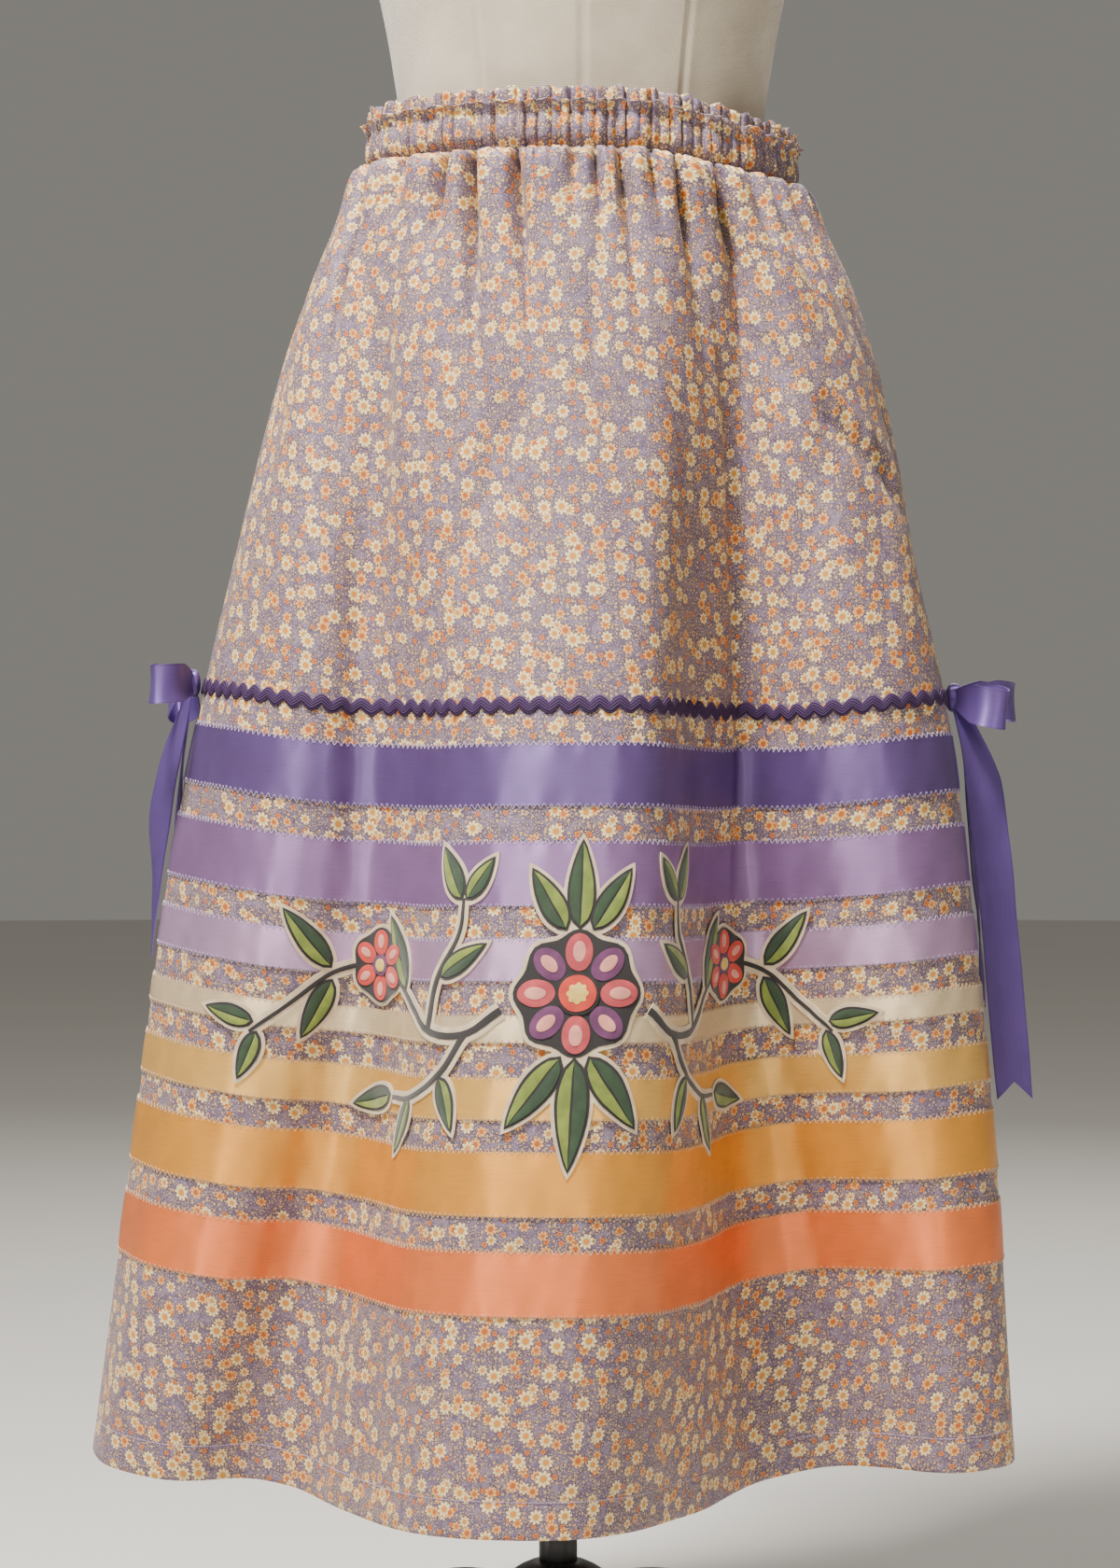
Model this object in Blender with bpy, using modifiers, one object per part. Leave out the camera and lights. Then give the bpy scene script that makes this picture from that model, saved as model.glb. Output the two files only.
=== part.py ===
"""Ribbon skirt on a dress form, standing on its own stand.

A gathered cotton skirt with an elastic casing, seven satin ribbons, rick-rack, an applique
garland and a ribbon bow at each side seam. The pole's foot is at the origin, +Z is up and the
front faces -Y. Sizes here are in millimetres and MM turns them into Blender's metres.

The skirt's surface has two coordinates. around runs once round the cloth, 0 to 1 along the
front from the left seam to the right seam and 1 to 2 along the back; drop is the length of
cloth from the casing's lower edge. Each section is an oval pushed in and out by folds, and its
points are spaced evenly along its folded length, so a line of constant around is a thread of
the cloth and every thread has the same length.
"""

import math
from collections import namedtuple

import bmesh
import bpy
import numpy as np
from mathutils.geometry import delaunay_2d_cdt

MM = 0.001

# Driving sizes of the cloth
WAIST_HEIGHT = 978.0
LEAN_FROM = 40.0  # cloth that starts right of this hangs lower towards the right seam
CLOTH_LENGTH = 829.0
CLOTH_WALL = 1.2
TRIM_WALL = 1.0
SEAM_GAP = 0.4
LAID_GAP = 0.4
RICK_RACK_DROP = 342.0
HIP_DROP = 110.0
CALF_DROP = 600.0
HEM_STITCH_DROP = 807.0

# Casing and ruffle
CASING_HEIGHT = 20.0
HEADER_HEIGHT = 6.5
HEADER_LEAF_RISE = 8.0
CASING_GATHERS = 44
CASING_INSET = 3.0
GATHER_RAISE = 2.6

# The oval at each drop: its half widths, its reach to the front and the back, how far back its
# two side seams lie, and how much lower the right seam hangs than the left
Section = namedtuple("Section", "drop left right front back seam lean")
SECTIONS = (
    Section(0, 116, 146, 97, 92, 0, 14),
    Section(25, 130, 161, 104, 104, 0, 14),
    Section(60, 146, 179, 108, 114, 1, 13),
    Section(110, 165, 196, 110, 122, 2, 12),
    Section(180, 184, 212, 110, 124, 4, 11),
    Section(260, 203, 225, 108, 121, 6, 9),
    Section(342, 222, 240, 105, 117, 9, 7),
    Section(460, 245, 254, 98, 111, 13, 3),
    Section(600, 264, 268, 88, 104, 17, 0),
    Section(829, 294, 281, 75, 94, 22, -4),
)

# Large folds: place round the oval and reach at hip, rick-rack and hem, and how far each one
# stands out (or in, where negative) at hip, rick-rack, calf and hem
Fold = namedtuple("Fold", "name hip_at band_at hem_at reach hem_reach hip band calf hem")
FOLDS = (
    Fold("left side lobe", 0.12, 0.17, 0.10, 0.080, 0.060, 2, 10, 12, 14),
    Fold("left valley", 0.19, 0.30, 0.224, 0.050, 0.061, -8, -10, -20, -28),
    Fold("front lobe", 0.52, 0.509, 0.474, 0.170, 0.136, 5, 42, 88, 108),
    Fold("right valley", 0.69, 0.68, 0.76, 0.060, 0.093, -16, -48, -52, -50),
    Fold("right side lobe", 0.84, 0.865, 0.91, 0.090, 0.060, 6, 24, 27, 28),
    Fold("back right valley", 1.08, 1.09, 1.10, 0.045, 0.050, -3, -7, -10, -12),
    Fold("back right lobe", 1.27, 1.27, 1.27, 0.110, 0.105, 4, 34, 64, 84),
    Fold("back valley", 1.49, 1.50, 1.52, 0.060, 0.070, -6, -22, -32, -38),
    Fold("back left lobe", 1.74, 1.73, 1.72, 0.110, 0.110, 4, 38, 70, 94),
    Fold("back left valley", 1.91, 1.90, 1.90, 0.045, 0.050, -3, -8, -12, -14),
)

# Small folds under the casing: place on the front, depth, length and how far the fold has
# wandered across the cloth where it ends
Gather = namedtuple("Gather", "at depth length drift")
FRONT_GATHERS = (
    Gather(0.085, 6.0, 260, 0.13),
    Gather(0.190, 3.5, 45, 0.00),
    Gather(0.270, 6.0, 75, 0.00),
    Gather(0.315, 7.0, 190, 0.06),
    Gather(0.390, 6.0, 150, 0.045),
    Gather(0.485, 4.5, 40, 0.00),
    Gather(0.520, 4.0, 65, 0.00),
    Gather(0.560, 5.0, 100, 0.00),
    Gather(0.610, 4.5, 50, 0.00),
    Gather(0.655, 6.0, 110, 0.00),
    Gather(0.725, 6.0, 260, -0.03),
    Gather(0.785, 4.5, 60, 0.00),
    Gather(0.830, 5.0, 85, 0.00),
    Gather(0.875, 5.5, 120, 0.01),
    Gather(0.940, 4.0, 120, 0.00),
)
BACK_GATHERS = tuple(
    Gather(2.0 - g.at, g.depth, 0.8 * g.length, -g.drift) for g in reversed(FRONT_GATHERS)
)
GATHER_REACH = 0.014
PUFF = 4.5  # how far the cloth bulges out just under the casing
PUFF_DROP = 14.0
COLUMN_STEP = 0.036

# Satin ribbons: where each one starts below the casing, its width and its colour
Ribbon = namedtuple("Ribbon", "name drop width colour")
RIBBONS = (
    Ribbon("purple", 365, 37, (0.11, 0.07, 0.30)),
    Ribbon("lavender", 423, 38, (0.30, 0.19, 0.43)),
    Ribbon("light_lavender", 480, 25, (0.43, 0.30, 0.50)),
    Ribbon("cream", 525, 16, (0.68, 0.55, 0.38)),
    Ribbon("light_gold", 561, 25, (0.72, 0.38, 0.11)),
    Ribbon("gold", 604, 38, (0.72, 0.28, 0.05)),
    Ribbon("coral", 662, 38, (0.75, 0.19, 0.07)),
)
UPPER_ROWS = (0.0, 14.0, 42.0, 90.0, 160.0, 250.0, RICK_RACK_DROP)

RICK_RACK_PERIOD = 15.0
RICK_RACK_SWING = 3.3
RICK_RACK_HALF = 2.6
RICK_RACK_LIFT = 0.9

# Applique garland, laid out in millimetres across the front from its middle, and as drops.
# A leaf or bud grows from (across, drop) towards an angle; 90 is down the cloth
APPLIQUE_MIDDLE = (-24.0, 512.0)
APPLIQUE_LIFT = 2.5
Leaf = namedtuple("Leaf", "across drop angle length width")
ROSETTE_RADIUS = 40.0
ROSETTE_PETALS = 8
STEM_HALF = 5.5
SCROLL = ((44, 10), (66, 24), (98, 22), (128, 2), (160, -14), (194, -8), (222, 14), (246, 34))
UPPER_SPRIG = ((98, 22), (92, -8), (76, -34), (74, -56))
LOWER_SPRIG = ((66, 24), (84, 48), (112, 62), (140, 64))
SIDE_FLOWER = (160.0, -14.0, 25.0)
ROSETTE_LEAVES = (
    Leaf(6, 34, 56, 58, 23),
    Leaf(0, 34, 90, 74, 24),
    Leaf(-6, 34, 124, 58, 23),
    Leaf(6, -34, -58, 50, 21),
    Leaf(0, -34, -90, 60, 22),
    Leaf(-6, -34, -122, 50, 21),
)
SCROLL_LEAVES = (
    Leaf(128, 2, -62, 56, 22),
    Leaf(92, -8, -150, 46, 19),
    Leaf(74, -52, -60, 44, 20),
    Leaf(74, -52, -125, 38, 18),
    Leaf(140, 62, 14, 46, 20),
    Leaf(112, 60, 62, 46, 19),
    Leaf(84, 46, 112, 42, 18),
    Leaf(194, -8, -48, 52, 21),
    Leaf(194, -6, 62, 50, 20),
    Leaf(240, 28, -8, 40, 18),
    Leaf(240, 30, 70, 40, 17),
)

# Ribbon bows at the side seams
BOW_WIDTH = 24.0
BOW_STANDOFF = 2.8
KNOT_RADII = (5.0, 8.0, 9.0)
Loop = namedtuple("Loop", "name out forward up length")
Tail = namedtuple("Tail", "name rows")
TailRow = namedtuple("TailRow", "down out forward facing")
Bow = namedtuple("Bow", "name side around loops tails")
BOWS = (
    Bow(
        "left",
        -1,
        0.010,
        (Loop("front", 0.46, 0.84, 0.02, 34), Loop("rear", 0.30, -0.85, -0.25, 34)),
        (
            Tail("front", (TailRow(11, 3, 3, 60), TailRow(42, 12, 0, 50), TailRow(72, 19, -4, 52),
                           TailRow(118, 23, -10, 68), TailRow(172, 27, -16, 82))),
            Tail("rear", (TailRow(12, 3, -7, 75), TailRow(50, 8, -20, 78),
                          TailRow(100, 13, -30, 82), TailRow(150, 16, -38, 84))),
        ),
    ),
    Bow(
        "right",
        1,
        0.978,
        (Loop("front", 0.66, 0.74, -0.14, 36), Loop("rear", 0.90, -0.40, 0.00, 38)),
        (
            Tail("front", (TailRow(11, 5, 5, 30), TailRow(38, 14, 8, 16), TailRow(88, 22, 8, 12),
                           TailRow(146, 28, 7, 12), TailRow(204, 33, 8, 14),
                           TailRow(250, 37, 9, 14))),
            Tail("rear", (TailRow(12, 3, -7, 76), TailRow(46, 9, -17, 78),
                          TailRow(96, 14, -24, 80), TailRow(150, 19, -29, 80),
                          TailRow(196, 22, -31, 80))),
        ),
    ),
)

# Dress form: ovals from its lower edge to the top of its neck
FormSection = namedtuple("FormSection", "height shift half_width front back")
FORM_SECTIONS = (
    FormSection(694, 10, 130, 66, 84),
    FormSection(704, 11, 138, 71, 91),
    FormSection(760, 12, 145, 76, 99),
    FormSection(820, 13, 142, 76, 99),
    FormSection(880, 14, 130, 75, 91),
    FormSection(935, 15, 116, 74, 79),
    FormSection(985, 15, 112, 75, 74),
    FormSection(1045, 15, 119, 84, 80),
    FormSection(1120, 15, 134, 101, 87),
    FormSection(1185, 15, 146, 110, 93),
    FormSection(1250, 15, 151, 99, 94),
    FormSection(1300, 15, 147, 84, 88),
    FormSection(1335, 15, 133, 72, 79),
    FormSection(1362, 15, 112, 63, 69),
    FormSection(1385, 15, 87, 56, 61),
    FormSection(1404, 15, 66, 51, 55),
    FormSection(1428, 15, 56, 49, 52),
    FormSection(1466, 15, 53, 48, 50),
)
FORM_POINTS = 18
NECK_CAP_HEIGHT = 10.0
NECK_CAP_RADII = (50.0, 46.0)

# Stand
POLE_RADIUS = 12.0
POLE_SIDES = 16
HUB_STEPS = 14
HUB_PROFILE = ((13.0, 108.0), (24.0, 104.0), (33.0, 96.0), (36.0, 84.0), (36.0, 62.0))
LEG_REACH = 205.0
LEG_RADIUS = 9.0
LEG_ARC = ((36.6, 73.0), (70.0, 74.0), (112.0, 66.0), (152.0, 48.0), (186.0, 25.0), (205.0, 5.2))
LEG_TURNS = (45.0, 135.0, 225.0, 315.0)
FOOT_RADIUS = 20.0
FOOT_HEIGHT = 8.0
PEDAL_SIZE = (22.0, 10.0, 6.0)
PEDAL_PLACE = (-44.8, 0.0, 98.0)

RING_SAMPLES = 361
HEIGHT_STEP = 5.0


# ---------------------------------------------------------------- tables and curves


def through(levels, values, at):
    """A smooth curve through a table's values: cubic pieces with the table's own slopes."""
    levels, values = np.asarray(levels, float), np.asarray(values, float)
    slopes = np.gradient(values, levels)
    at = np.clip(at, levels[0], levels[-1])
    i = np.clip(np.searchsorted(levels, at, side="right") - 1, 0, len(levels) - 2)
    span = levels[i + 1] - levels[i]
    k = (at - levels[i]) / span
    return (
        (2 * k**3 - 3 * k**2 + 1) * values[i]
        + (k**3 - 2 * k**2 + k) * span * slopes[i]
        + (3 * k**2 - 2 * k**3) * values[i + 1]
        + (k**3 - k**2) * span * slopes[i + 1]
    )


def section_size(column, drop):
    """One of the oval's sizes at a drop."""
    return through([s.drop for s in SECTIONS], [getattr(s, column) for s in SECTIONS], drop)


def folds_at(place, drop):
    """How far the large folds push the oval out at each place round it."""
    out = np.zeros_like(place)
    for fold in FOLDS:
        at = through((0, HIP_DROP, RICK_RACK_DROP, CLOTH_LENGTH),
                     (fold.hip_at, fold.hip_at, fold.band_at, fold.hem_at), drop)
        reach = fold.reach + (fold.hem_reach - fold.reach) * drop / CLOTH_LENGTH
        depth = through((0, HIP_DROP, RICK_RACK_DROP, CALF_DROP, CLOTH_LENGTH),
                        (0, fold.hip, fold.band, fold.calf, fold.hem), drop)
        away = (place - at + 1) % 2 - 1
        out += depth * np.exp(-np.abs(away / reach) ** 3)
    return out


def ring(drop):
    """The folded section at a drop: (around, x, y), each sampled round the front and the back."""
    left, right = section_size("left", drop), section_size("right", drop)
    half, middle = (left + right) / 2, (right - left) / 2
    turn = np.linspace(0, math.pi, RING_SAMPLES)
    seam = section_size("seam", drop)
    halves = []
    for start, depth, facing in ((0, section_size("front", drop) + seam, -1),
                                 (1, section_size("back", drop) - seam, 1)):
        x, y = -half * np.cos(turn) * -facing, depth * np.sin(turn) * facing
        along = np.concatenate([[0], np.cumsum(np.hypot(np.diff(x), np.diff(y)))])
        push = folds_at(start + along / along[-1], drop)
        across = np.stack([-depth * np.cos(turn) * -facing, half * np.sin(turn) * facing])
        across /= np.linalg.norm(across, axis=0)
        x, y = x + middle + push * across[0], y + seam + push * across[1]
        along = np.concatenate([[0], np.cumsum(np.hypot(np.diff(x), np.diff(y)))])
        halves.append((start + along / along[-1], x, y))
    return [np.concatenate([halves[0][k], halves[1][k][1:]]) for k in range(3)]


def lean_share(x):
    """How much of the right seam's lean the cloth has that starts at this place on the waist."""
    k = np.clip((x - LEAN_FROM) / (section_size("right", 0.0) - LEAN_FROM), 0, 1)
    return k * k * (3 - 2 * k)


def form_table():
    """(drops, arounds, points) of the cloth without its gathers, on an even grid."""
    drops = np.arange(0, CLOTH_LENGTH + HEIGHT_STEP, HEIGHT_STEP)
    arounds = np.linspace(0, 2, 2 * RING_SAMPLES - 1)
    plan = np.zeros((len(drops), len(arounds), 2))
    for row, drop in enumerate(drops):
        at, x, y = ring(drop)
        plan[row, :, 0], plan[row, :, 1] = np.interp(arounds, at, x), np.interp(arounds, at, y)
    slant = np.linalg.norm(np.diff(plan, axis=0), axis=2)
    fall = np.sqrt(np.maximum(HEIGHT_STEP**2 - slant**2, 0.04 * HEIGHT_STEP**2))
    lean = section_size("lean", drops)[:, None] * lean_share(plan[0, :, 0])
    height = WAIST_HEIGHT - lean
    height[1:] -= np.cumsum(fall, axis=0)
    return drops, arounds, np.dstack([plan, height])


DROPS, AROUNDS, FORM = form_table()


def form_point(around, drop):
    """Points of the cloth without its gathers, read between the table's four nearest."""
    around, drop = np.broadcast_arrays(np.asarray(around, float) % 2, np.asarray(drop, float))
    c = around / (AROUNDS[1] - AROUNDS[0])
    r = np.clip(drop / HEIGHT_STEP, 0, len(DROPS) - 1.001)
    c0, r0 = np.clip(c.astype(int), 0, len(AROUNDS) - 2), r.astype(int)
    kc, kr = (c - c0)[..., None], (r - r0)[..., None]
    upper = FORM[r0, c0] * (1 - kc) + FORM[r0, c0 + 1] * kc
    lower = FORM[r0 + 1, c0] * (1 - kc) + FORM[r0 + 1, c0 + 1] * kc
    return upper * (1 - kr) + lower * kr


def normal_of(surface, around, drop):
    """Outward directions of a surface, from its slopes along the cloth's two coordinates."""
    across = surface(around + 0.003, drop) - surface(around - 0.003, drop)
    down = surface(around, np.minimum(drop + 3, CLOTH_LENGTH)) - surface(
        around, np.maximum(drop - 3, 0)
    )
    normal = np.cross(down, across)
    return normal / np.linalg.norm(normal, axis=-1, keepdims=True)


def gathers_at(around, drop):
    """How far the small folds and the puffs under the casing move the cloth out."""
    around, drop = np.broadcast_arrays(np.asarray(around, float) % 2, np.asarray(drop, float))
    out = PUFF * (drop / PUFF_DROP) * np.exp(1 - drop / PUFF_DROP)
    for gather in FRONT_GATHERS + BACK_GATHERS:
        along = drop / gather.length
        away = around - gather.at - gather.drift * np.minimum(along, 1)
        reach = GATHER_REACH * (1 + np.minimum(along, 1))
        rise = np.minimum(drop / PUFF_DROP, 1)
        out = out - gather.depth * rise * np.exp(-((along / 0.75) ** 2) - (away / reach) ** 2)
    return out


def cloth_point(around, drop):
    """Points of the finished cloth's outer face."""
    around, drop = np.broadcast_arrays(np.asarray(around, float), np.asarray(drop, float))
    return form_point(around, drop) + gathers_at(around, drop)[..., None] * normal_of(
        form_point, around, drop
    )


# ---------------------------------------------------------------- meshes


def material(name, colour, roughness=0.8, metallic=0.0):
    """A material of one colour, made once for each name."""
    found = bpy.data.materials.get(name)
    if found:
        return found
    made = bpy.data.materials.new(name)
    made.use_nodes = True
    shader = made.node_tree.nodes["Principled BSDF"]
    shader.inputs["Base Color"].default_value = (*colour, 1)
    shader.inputs["Roughness"].default_value = roughness
    shader.inputs["Metallic"].default_value = metallic
    return made


def add(name, mesh, finish, collection):
    """Puts a mesh in the collection as a named object with its material."""
    piece = bpy.data.objects.new(name, mesh)
    mesh.materials.append(finish)
    collection.objects.link(piece)
    return piece


def sheet_solid(name, outer, inner, triangles, finish, collection):
    """A closed wall from an open sheet of triangles: its outer and inner points and its rim."""
    count = len(outer)
    edges = np.concatenate([triangles[:, [0, 1]], triangles[:, [1, 2]], triangles[:, [2, 0]]])
    _, index, uses = np.unique(np.sort(edges, axis=1), axis=0,
                               return_inverse=True, return_counts=True)
    rim = edges[uses[index.reshape(-1)] == 1]
    a, b = rim[:, 0], rim[:, 1]
    sides = np.concatenate([np.stack([b, a, a + count], axis=1),
                            np.stack([b, a + count, b + count], axis=1)])
    faces = np.concatenate([triangles, triangles[:, ::-1] + count, sides])
    mesh = bpy.data.meshes.new(name)
    mesh.from_pydata((np.concatenate([outer, inner]) * MM).tolist(), [], faces.tolist())
    mesh.validate()
    return add(name, mesh, finish, collection)


def grid_triangles(rows, columns):
    """Triangles of a grid, each quad cut from its upper left to its lower right corner."""
    corner = (np.arange(rows - 1)[:, None] * columns + np.arange(columns - 1)).reshape(-1)
    right, below = corner + 1, corner + columns
    across = below + 1
    return np.concatenate([np.stack([corner, below, across], axis=1),
                           np.stack([corner, across, right], axis=1)])


def grid_solid(name, outer, inner, finish, collection):
    """A closed wall between two grids of points of the same shape."""
    rows, columns = outer.shape[:2]
    return sheet_solid(name, outer.reshape(-1, 3), inner.reshape(-1, 3),
                       grid_triangles(rows, columns), finish, collection)


def swept_solid(name, sections, finish, collection):
    """A closed solid through sections of the same number of points, capped at both ends."""
    count, points = sections.shape[:2]
    ring_of = np.arange(points)
    after = (ring_of + 1) % points
    start = (np.arange(count - 1) * points)[:, None]
    a, b = start + ring_of, start + after
    sides = np.concatenate([np.stack([a, b + points, b], axis=-1).reshape(-1, 3),
                            np.stack([a, a + points, b + points], axis=-1).reshape(-1, 3)])
    last = (count - 1) * points
    caps = [ring_of.tolist(), (last + ring_of[::-1]).tolist()]
    mesh = bpy.data.meshes.new(name)
    mesh.from_pydata((sections.reshape(-1, 3) * MM).tolist(), [], sides.tolist() + caps)
    return add(name, mesh, finish, collection)


# ---------------------------------------------------------------- skirt

Panel = namedtuple("Panel", "name arounds drops points normals")


def panel_columns(gathers, start):
    """Places round one half: its seams, the bottom of each gather, and points between them."""
    seam = SEAM_GAP / 2 / 790.0
    stops = [start + seam] + sorted(g.at for g in gathers) + [start + 1 - seam]
    places = []
    for a, b in zip(stops, stops[1:]):
        steps = max(2, round((b - a) / COLUMN_STEP))
        if min(a - start, start + 1 - b) < 0.01:
            steps = max(1, steps - 1)
        places += [a + (b - a) * k / steps for k in range(steps)]
    return np.array(places + [stops[-1]])


def panel_rows():
    """Drops of a panel's rows: the upper ones, each ribbon's two edges, the hem's line and edge."""
    edges = [edge for r in RIBBONS for edge in (r.drop, r.drop + r.width)]
    return np.array([*UPPER_ROWS, *edges, HEM_STITCH_DROP, CLOTH_LENGTH])


def make_panel(name, gathers, start):
    """The outer face of the front or the back as a grid of points with their directions."""
    arounds, drops = panel_columns(gathers, start), panel_rows()
    drops[0] = SEAM_GAP
    place, drop = np.meshgrid(arounds, drops)
    return Panel(name, arounds, drops, cloth_point(place, drop),
                 normal_of(cloth_point, place, drop))


def on_panel(panel, around, drop):
    """Points and directions on the panel's own triangles."""
    c = np.clip(np.searchsorted(panel.arounds, around, side="right") - 1, 0,
                len(panel.arounds) - 2)
    r = np.clip(np.searchsorted(panel.drops, drop, side="right") - 1, 0, len(panel.drops) - 2)
    a = ((around - panel.arounds[c]) / (panel.arounds[c + 1] - panel.arounds[c]))[..., None]
    b = ((drop - panel.drops[r]) / (panel.drops[r + 1] - panel.drops[r]))[..., None]
    found = []
    for grid in (panel.points, panel.normals):
        corner, right, below, far = grid[r, c], grid[r, c + 1], grid[r + 1, c], grid[r + 1, c + 1]
        found.append(np.where(b >= a, corner + b * (below - corner) + a * (far - below),
                              corner + a * (right - corner) + b * (far - right)))
    return found[0], found[1] / np.linalg.norm(found[1], axis=-1, keepdims=True)


def skirt_panel(panel, collection):
    """One panel of printed cotton, from the casing to the hem."""
    finish = material("printed_cotton", (0.33, 0.28, 0.36))
    grid_solid(f"panel_{panel.name}", panel.points, panel.points - CLOTH_WALL * panel.normals,
               finish, collection)


def ribbon_piece(panel, ribbon, collection):
    """A satin ribbon across one panel: two of the panel's rows, moved out."""
    first = list(panel.drops).index(ribbon.drop)
    points, normals = panel.points[first:first + 2], panel.normals[first:first + 2]
    finish = material(f"{ribbon.name}_satin", ribbon.colour, 0.35)
    grid_solid(f"ribbon_{ribbon.name}_{panel.name}",
               points + (LAID_GAP + TRIM_WALL) * normals, points + LAID_GAP * normals,
               finish, collection)


def rick_rack(panel, collection):
    """The wavy braid above the ribbons: a narrow band whose middle swings up and down."""
    ends = panel.arounds[[0, -1]]
    line = cloth_point(np.linspace(*ends, 200), RICK_RACK_DROP)
    length = np.linalg.norm(np.diff(line, axis=0), axis=1).sum()
    count = 2 * round(length / RICK_RACK_PERIOD)
    places = np.linspace(*ends, count + 1)
    swing = RICK_RACK_DROP + RICK_RACK_SWING * np.cos(math.pi * np.arange(count + 1))
    place, drop = np.stack([places, places]), np.stack([swing - RICK_RACK_HALF,
                                                       swing + RICK_RACK_HALF])
    points, normals = on_panel(panel, place, drop)
    finish = material("rick_rack_braid", (0.06, 0.03, 0.14))
    grid_solid(f"rick_rack_{panel.name}", points + (RICK_RACK_LIFT + TRIM_WALL) * normals,
               points + RICK_RACK_LIFT * normals, finish, collection)


def casing(name, start, collection):
    """The elastic casing and its ruffle: gathers raised outside a plain inner face."""
    seam = SEAM_GAP / 2 / 365.0
    gathers = np.arange(2 * CASING_GATHERS + 1)
    spread = (gathers + 0.28 * np.sin(2.4 * gathers) * (gathers % (2 * CASING_GATHERS) > 0))
    places = start + seam + (1 - 2 * seam) * spread / (2 * CASING_GATHERS)
    ridge = gathers % 2 * (0.72 + 0.28 * np.sin(1.7 * gathers))
    base, out = form_point(places, 0.0), normal_of(form_point, places, 0.0)
    out[:, 2] = 0
    out /= np.linalg.norm(out, axis=1, keepdims=True)
    top = CASING_HEIGHT + HEADER_HEIGHT
    rows = (
        (0.0, 0.4, 0.9),
        (CASING_HEIGHT, 0.2, 0.8),
        (top, 1.6, 1.2),
        (top + HEADER_LEAF_RISE, -0.6, 0.5),
    )
    loop = [base + (0, 0, up + SEAM_GAP) + (flare + share * GATHER_RAISE * ridge)[:, None] * out
            for up, flare, share in rows]
    loop += [base + (0, 0, up + SEAM_GAP) - CASING_INSET * out
             for up in (top + HEADER_LEAF_RISE, 0.0)]
    swept_solid(f"casing_{name}", np.stack(loop, axis=1),
                material("printed_cotton", (0.33, 0.28, 0.36)), collection)


# ---------------------------------------------------------------- applique


def leaf_outline(leaf):
    """A pointed leaf: two bowed sides from its foot to its tip."""
    along = np.array([0, 0.30, 0.72, 1, 0.72, 0.30])
    side = np.array([0, 1, 0.84, 0, -0.84, -1])
    x, y = along * leaf.length, side * leaf.width / 2
    turn = math.radians(leaf.angle)
    return np.stack([leaf.across + x * math.cos(turn) - y * math.sin(turn),
                     leaf.drop + x * math.sin(turn) + y * math.cos(turn)], axis=1)


def flower_outline(across, drop, radius, petals, points=3):
    """A flower: a circle whose edge swells once for each petal."""
    turn = np.arange(petals * points) * math.tau / (petals * points)
    reach = radius * (1 - 0.14 * (np.arange(petals * points) % points == 0))
    return np.stack([across + reach * np.cos(turn), drop + reach * np.sin(turn)], axis=1)


def stem_outline(path, half):
    """A stem of even width along a path, narrowing a little to its end."""
    path = np.array(path, float)
    along = np.gradient(path, axis=0)
    across = np.stack([-along[:, 1], along[:, 0]], axis=1)
    across /= np.linalg.norm(across, axis=1, keepdims=True)
    width = (half * np.linspace(1, 0.72, len(path)))[:, None]
    return np.concatenate([path + across * width, (path - across * width)[::-1]])


def garland_outlines(side):
    """The outlines that make one side of the garland, turned to the left or right."""
    found = [
        stem_outline(SCROLL, STEM_HALF),
        stem_outline(UPPER_SPRIG, STEM_HALF),
        stem_outline(LOWER_SPRIG, STEM_HALF),
        flower_outline(*SIDE_FLOWER, 6, 2),
    ]
    found += [leaf_outline(leaf) for leaf in SCROLL_LEAVES]
    return [outline * (side, 1) for outline in found]


def applique_piece(name, outlines, panel, front_width, collection):
    """One laid piece: its outlines joined flat, cut along the panel's columns, then laid on."""
    outlines = [np.array(outline) + APPLIQUE_MIDDLE for outline in outlines]
    low = np.min([o.min(axis=0) for o in outlines], axis=0)
    high = np.max([o.max(axis=0) for o in outlines], axis=0)
    points, edges, faces = [], [], []
    for outline in outlines:
        first = len(points)
        points += outline.tolist()
        faces.append(list(range(first, len(points))))
    for around in panel.arounds:
        across = (around - 0.5) * front_width
        if low[0] < across < high[0]:
            edges.append((len(points), len(points) + 1))
            points += [(across, low[1] - 1), (across, high[1] + 1)]
    flat, _, triangles, *_ = delaunay_2d_cdt(points, edges, faces, 1, 0.05)
    flat, triangles = np.array([tuple(p) for p in flat]), np.array(triangles)
    used, triangles = np.unique(triangles, return_inverse=True)
    flat, triangles = flat[used], triangles.reshape(-1, 3)
    laid, normals = on_panel(panel, 0.5 + flat[:, 0] / front_width, flat[:, 1])
    outer, inner = laid + (APPLIQUE_LIFT + TRIM_WALL) * normals, laid + APPLIQUE_LIFT * normals
    a, b, c = (outer[triangles[:, k]] for k in range(3))
    if (np.cross(b - a, c - a) * normals[triangles[:, 0]]).sum() < 0:
        triangles = triangles[:, ::-1]
    sheet_solid(f"applique_{name}", outer, inner, triangles,
                material("applique_cloth", (0.72, 0.62, 0.52)), collection)


def applique(panel, collection):
    """The rosette and the garland on each side of it."""
    along = cloth_point(np.linspace(0, 1, 400), APPLIQUE_MIDDLE[1])
    front_width = np.linalg.norm(np.diff(along, axis=0), axis=1).sum()
    rosette = [flower_outline(0, 0, ROSETTE_RADIUS, ROSETTE_PETALS)]
    rosette += [leaf_outline(leaf) for leaf in ROSETTE_LEAVES]
    applique_piece("rosette", rosette, panel, front_width, collection)
    for name, side in (("left", -1), ("right", 1)):
        applique_piece(name, garland_outlines(side), panel, front_width, collection)


# ---------------------------------------------------------------- bows


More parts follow.
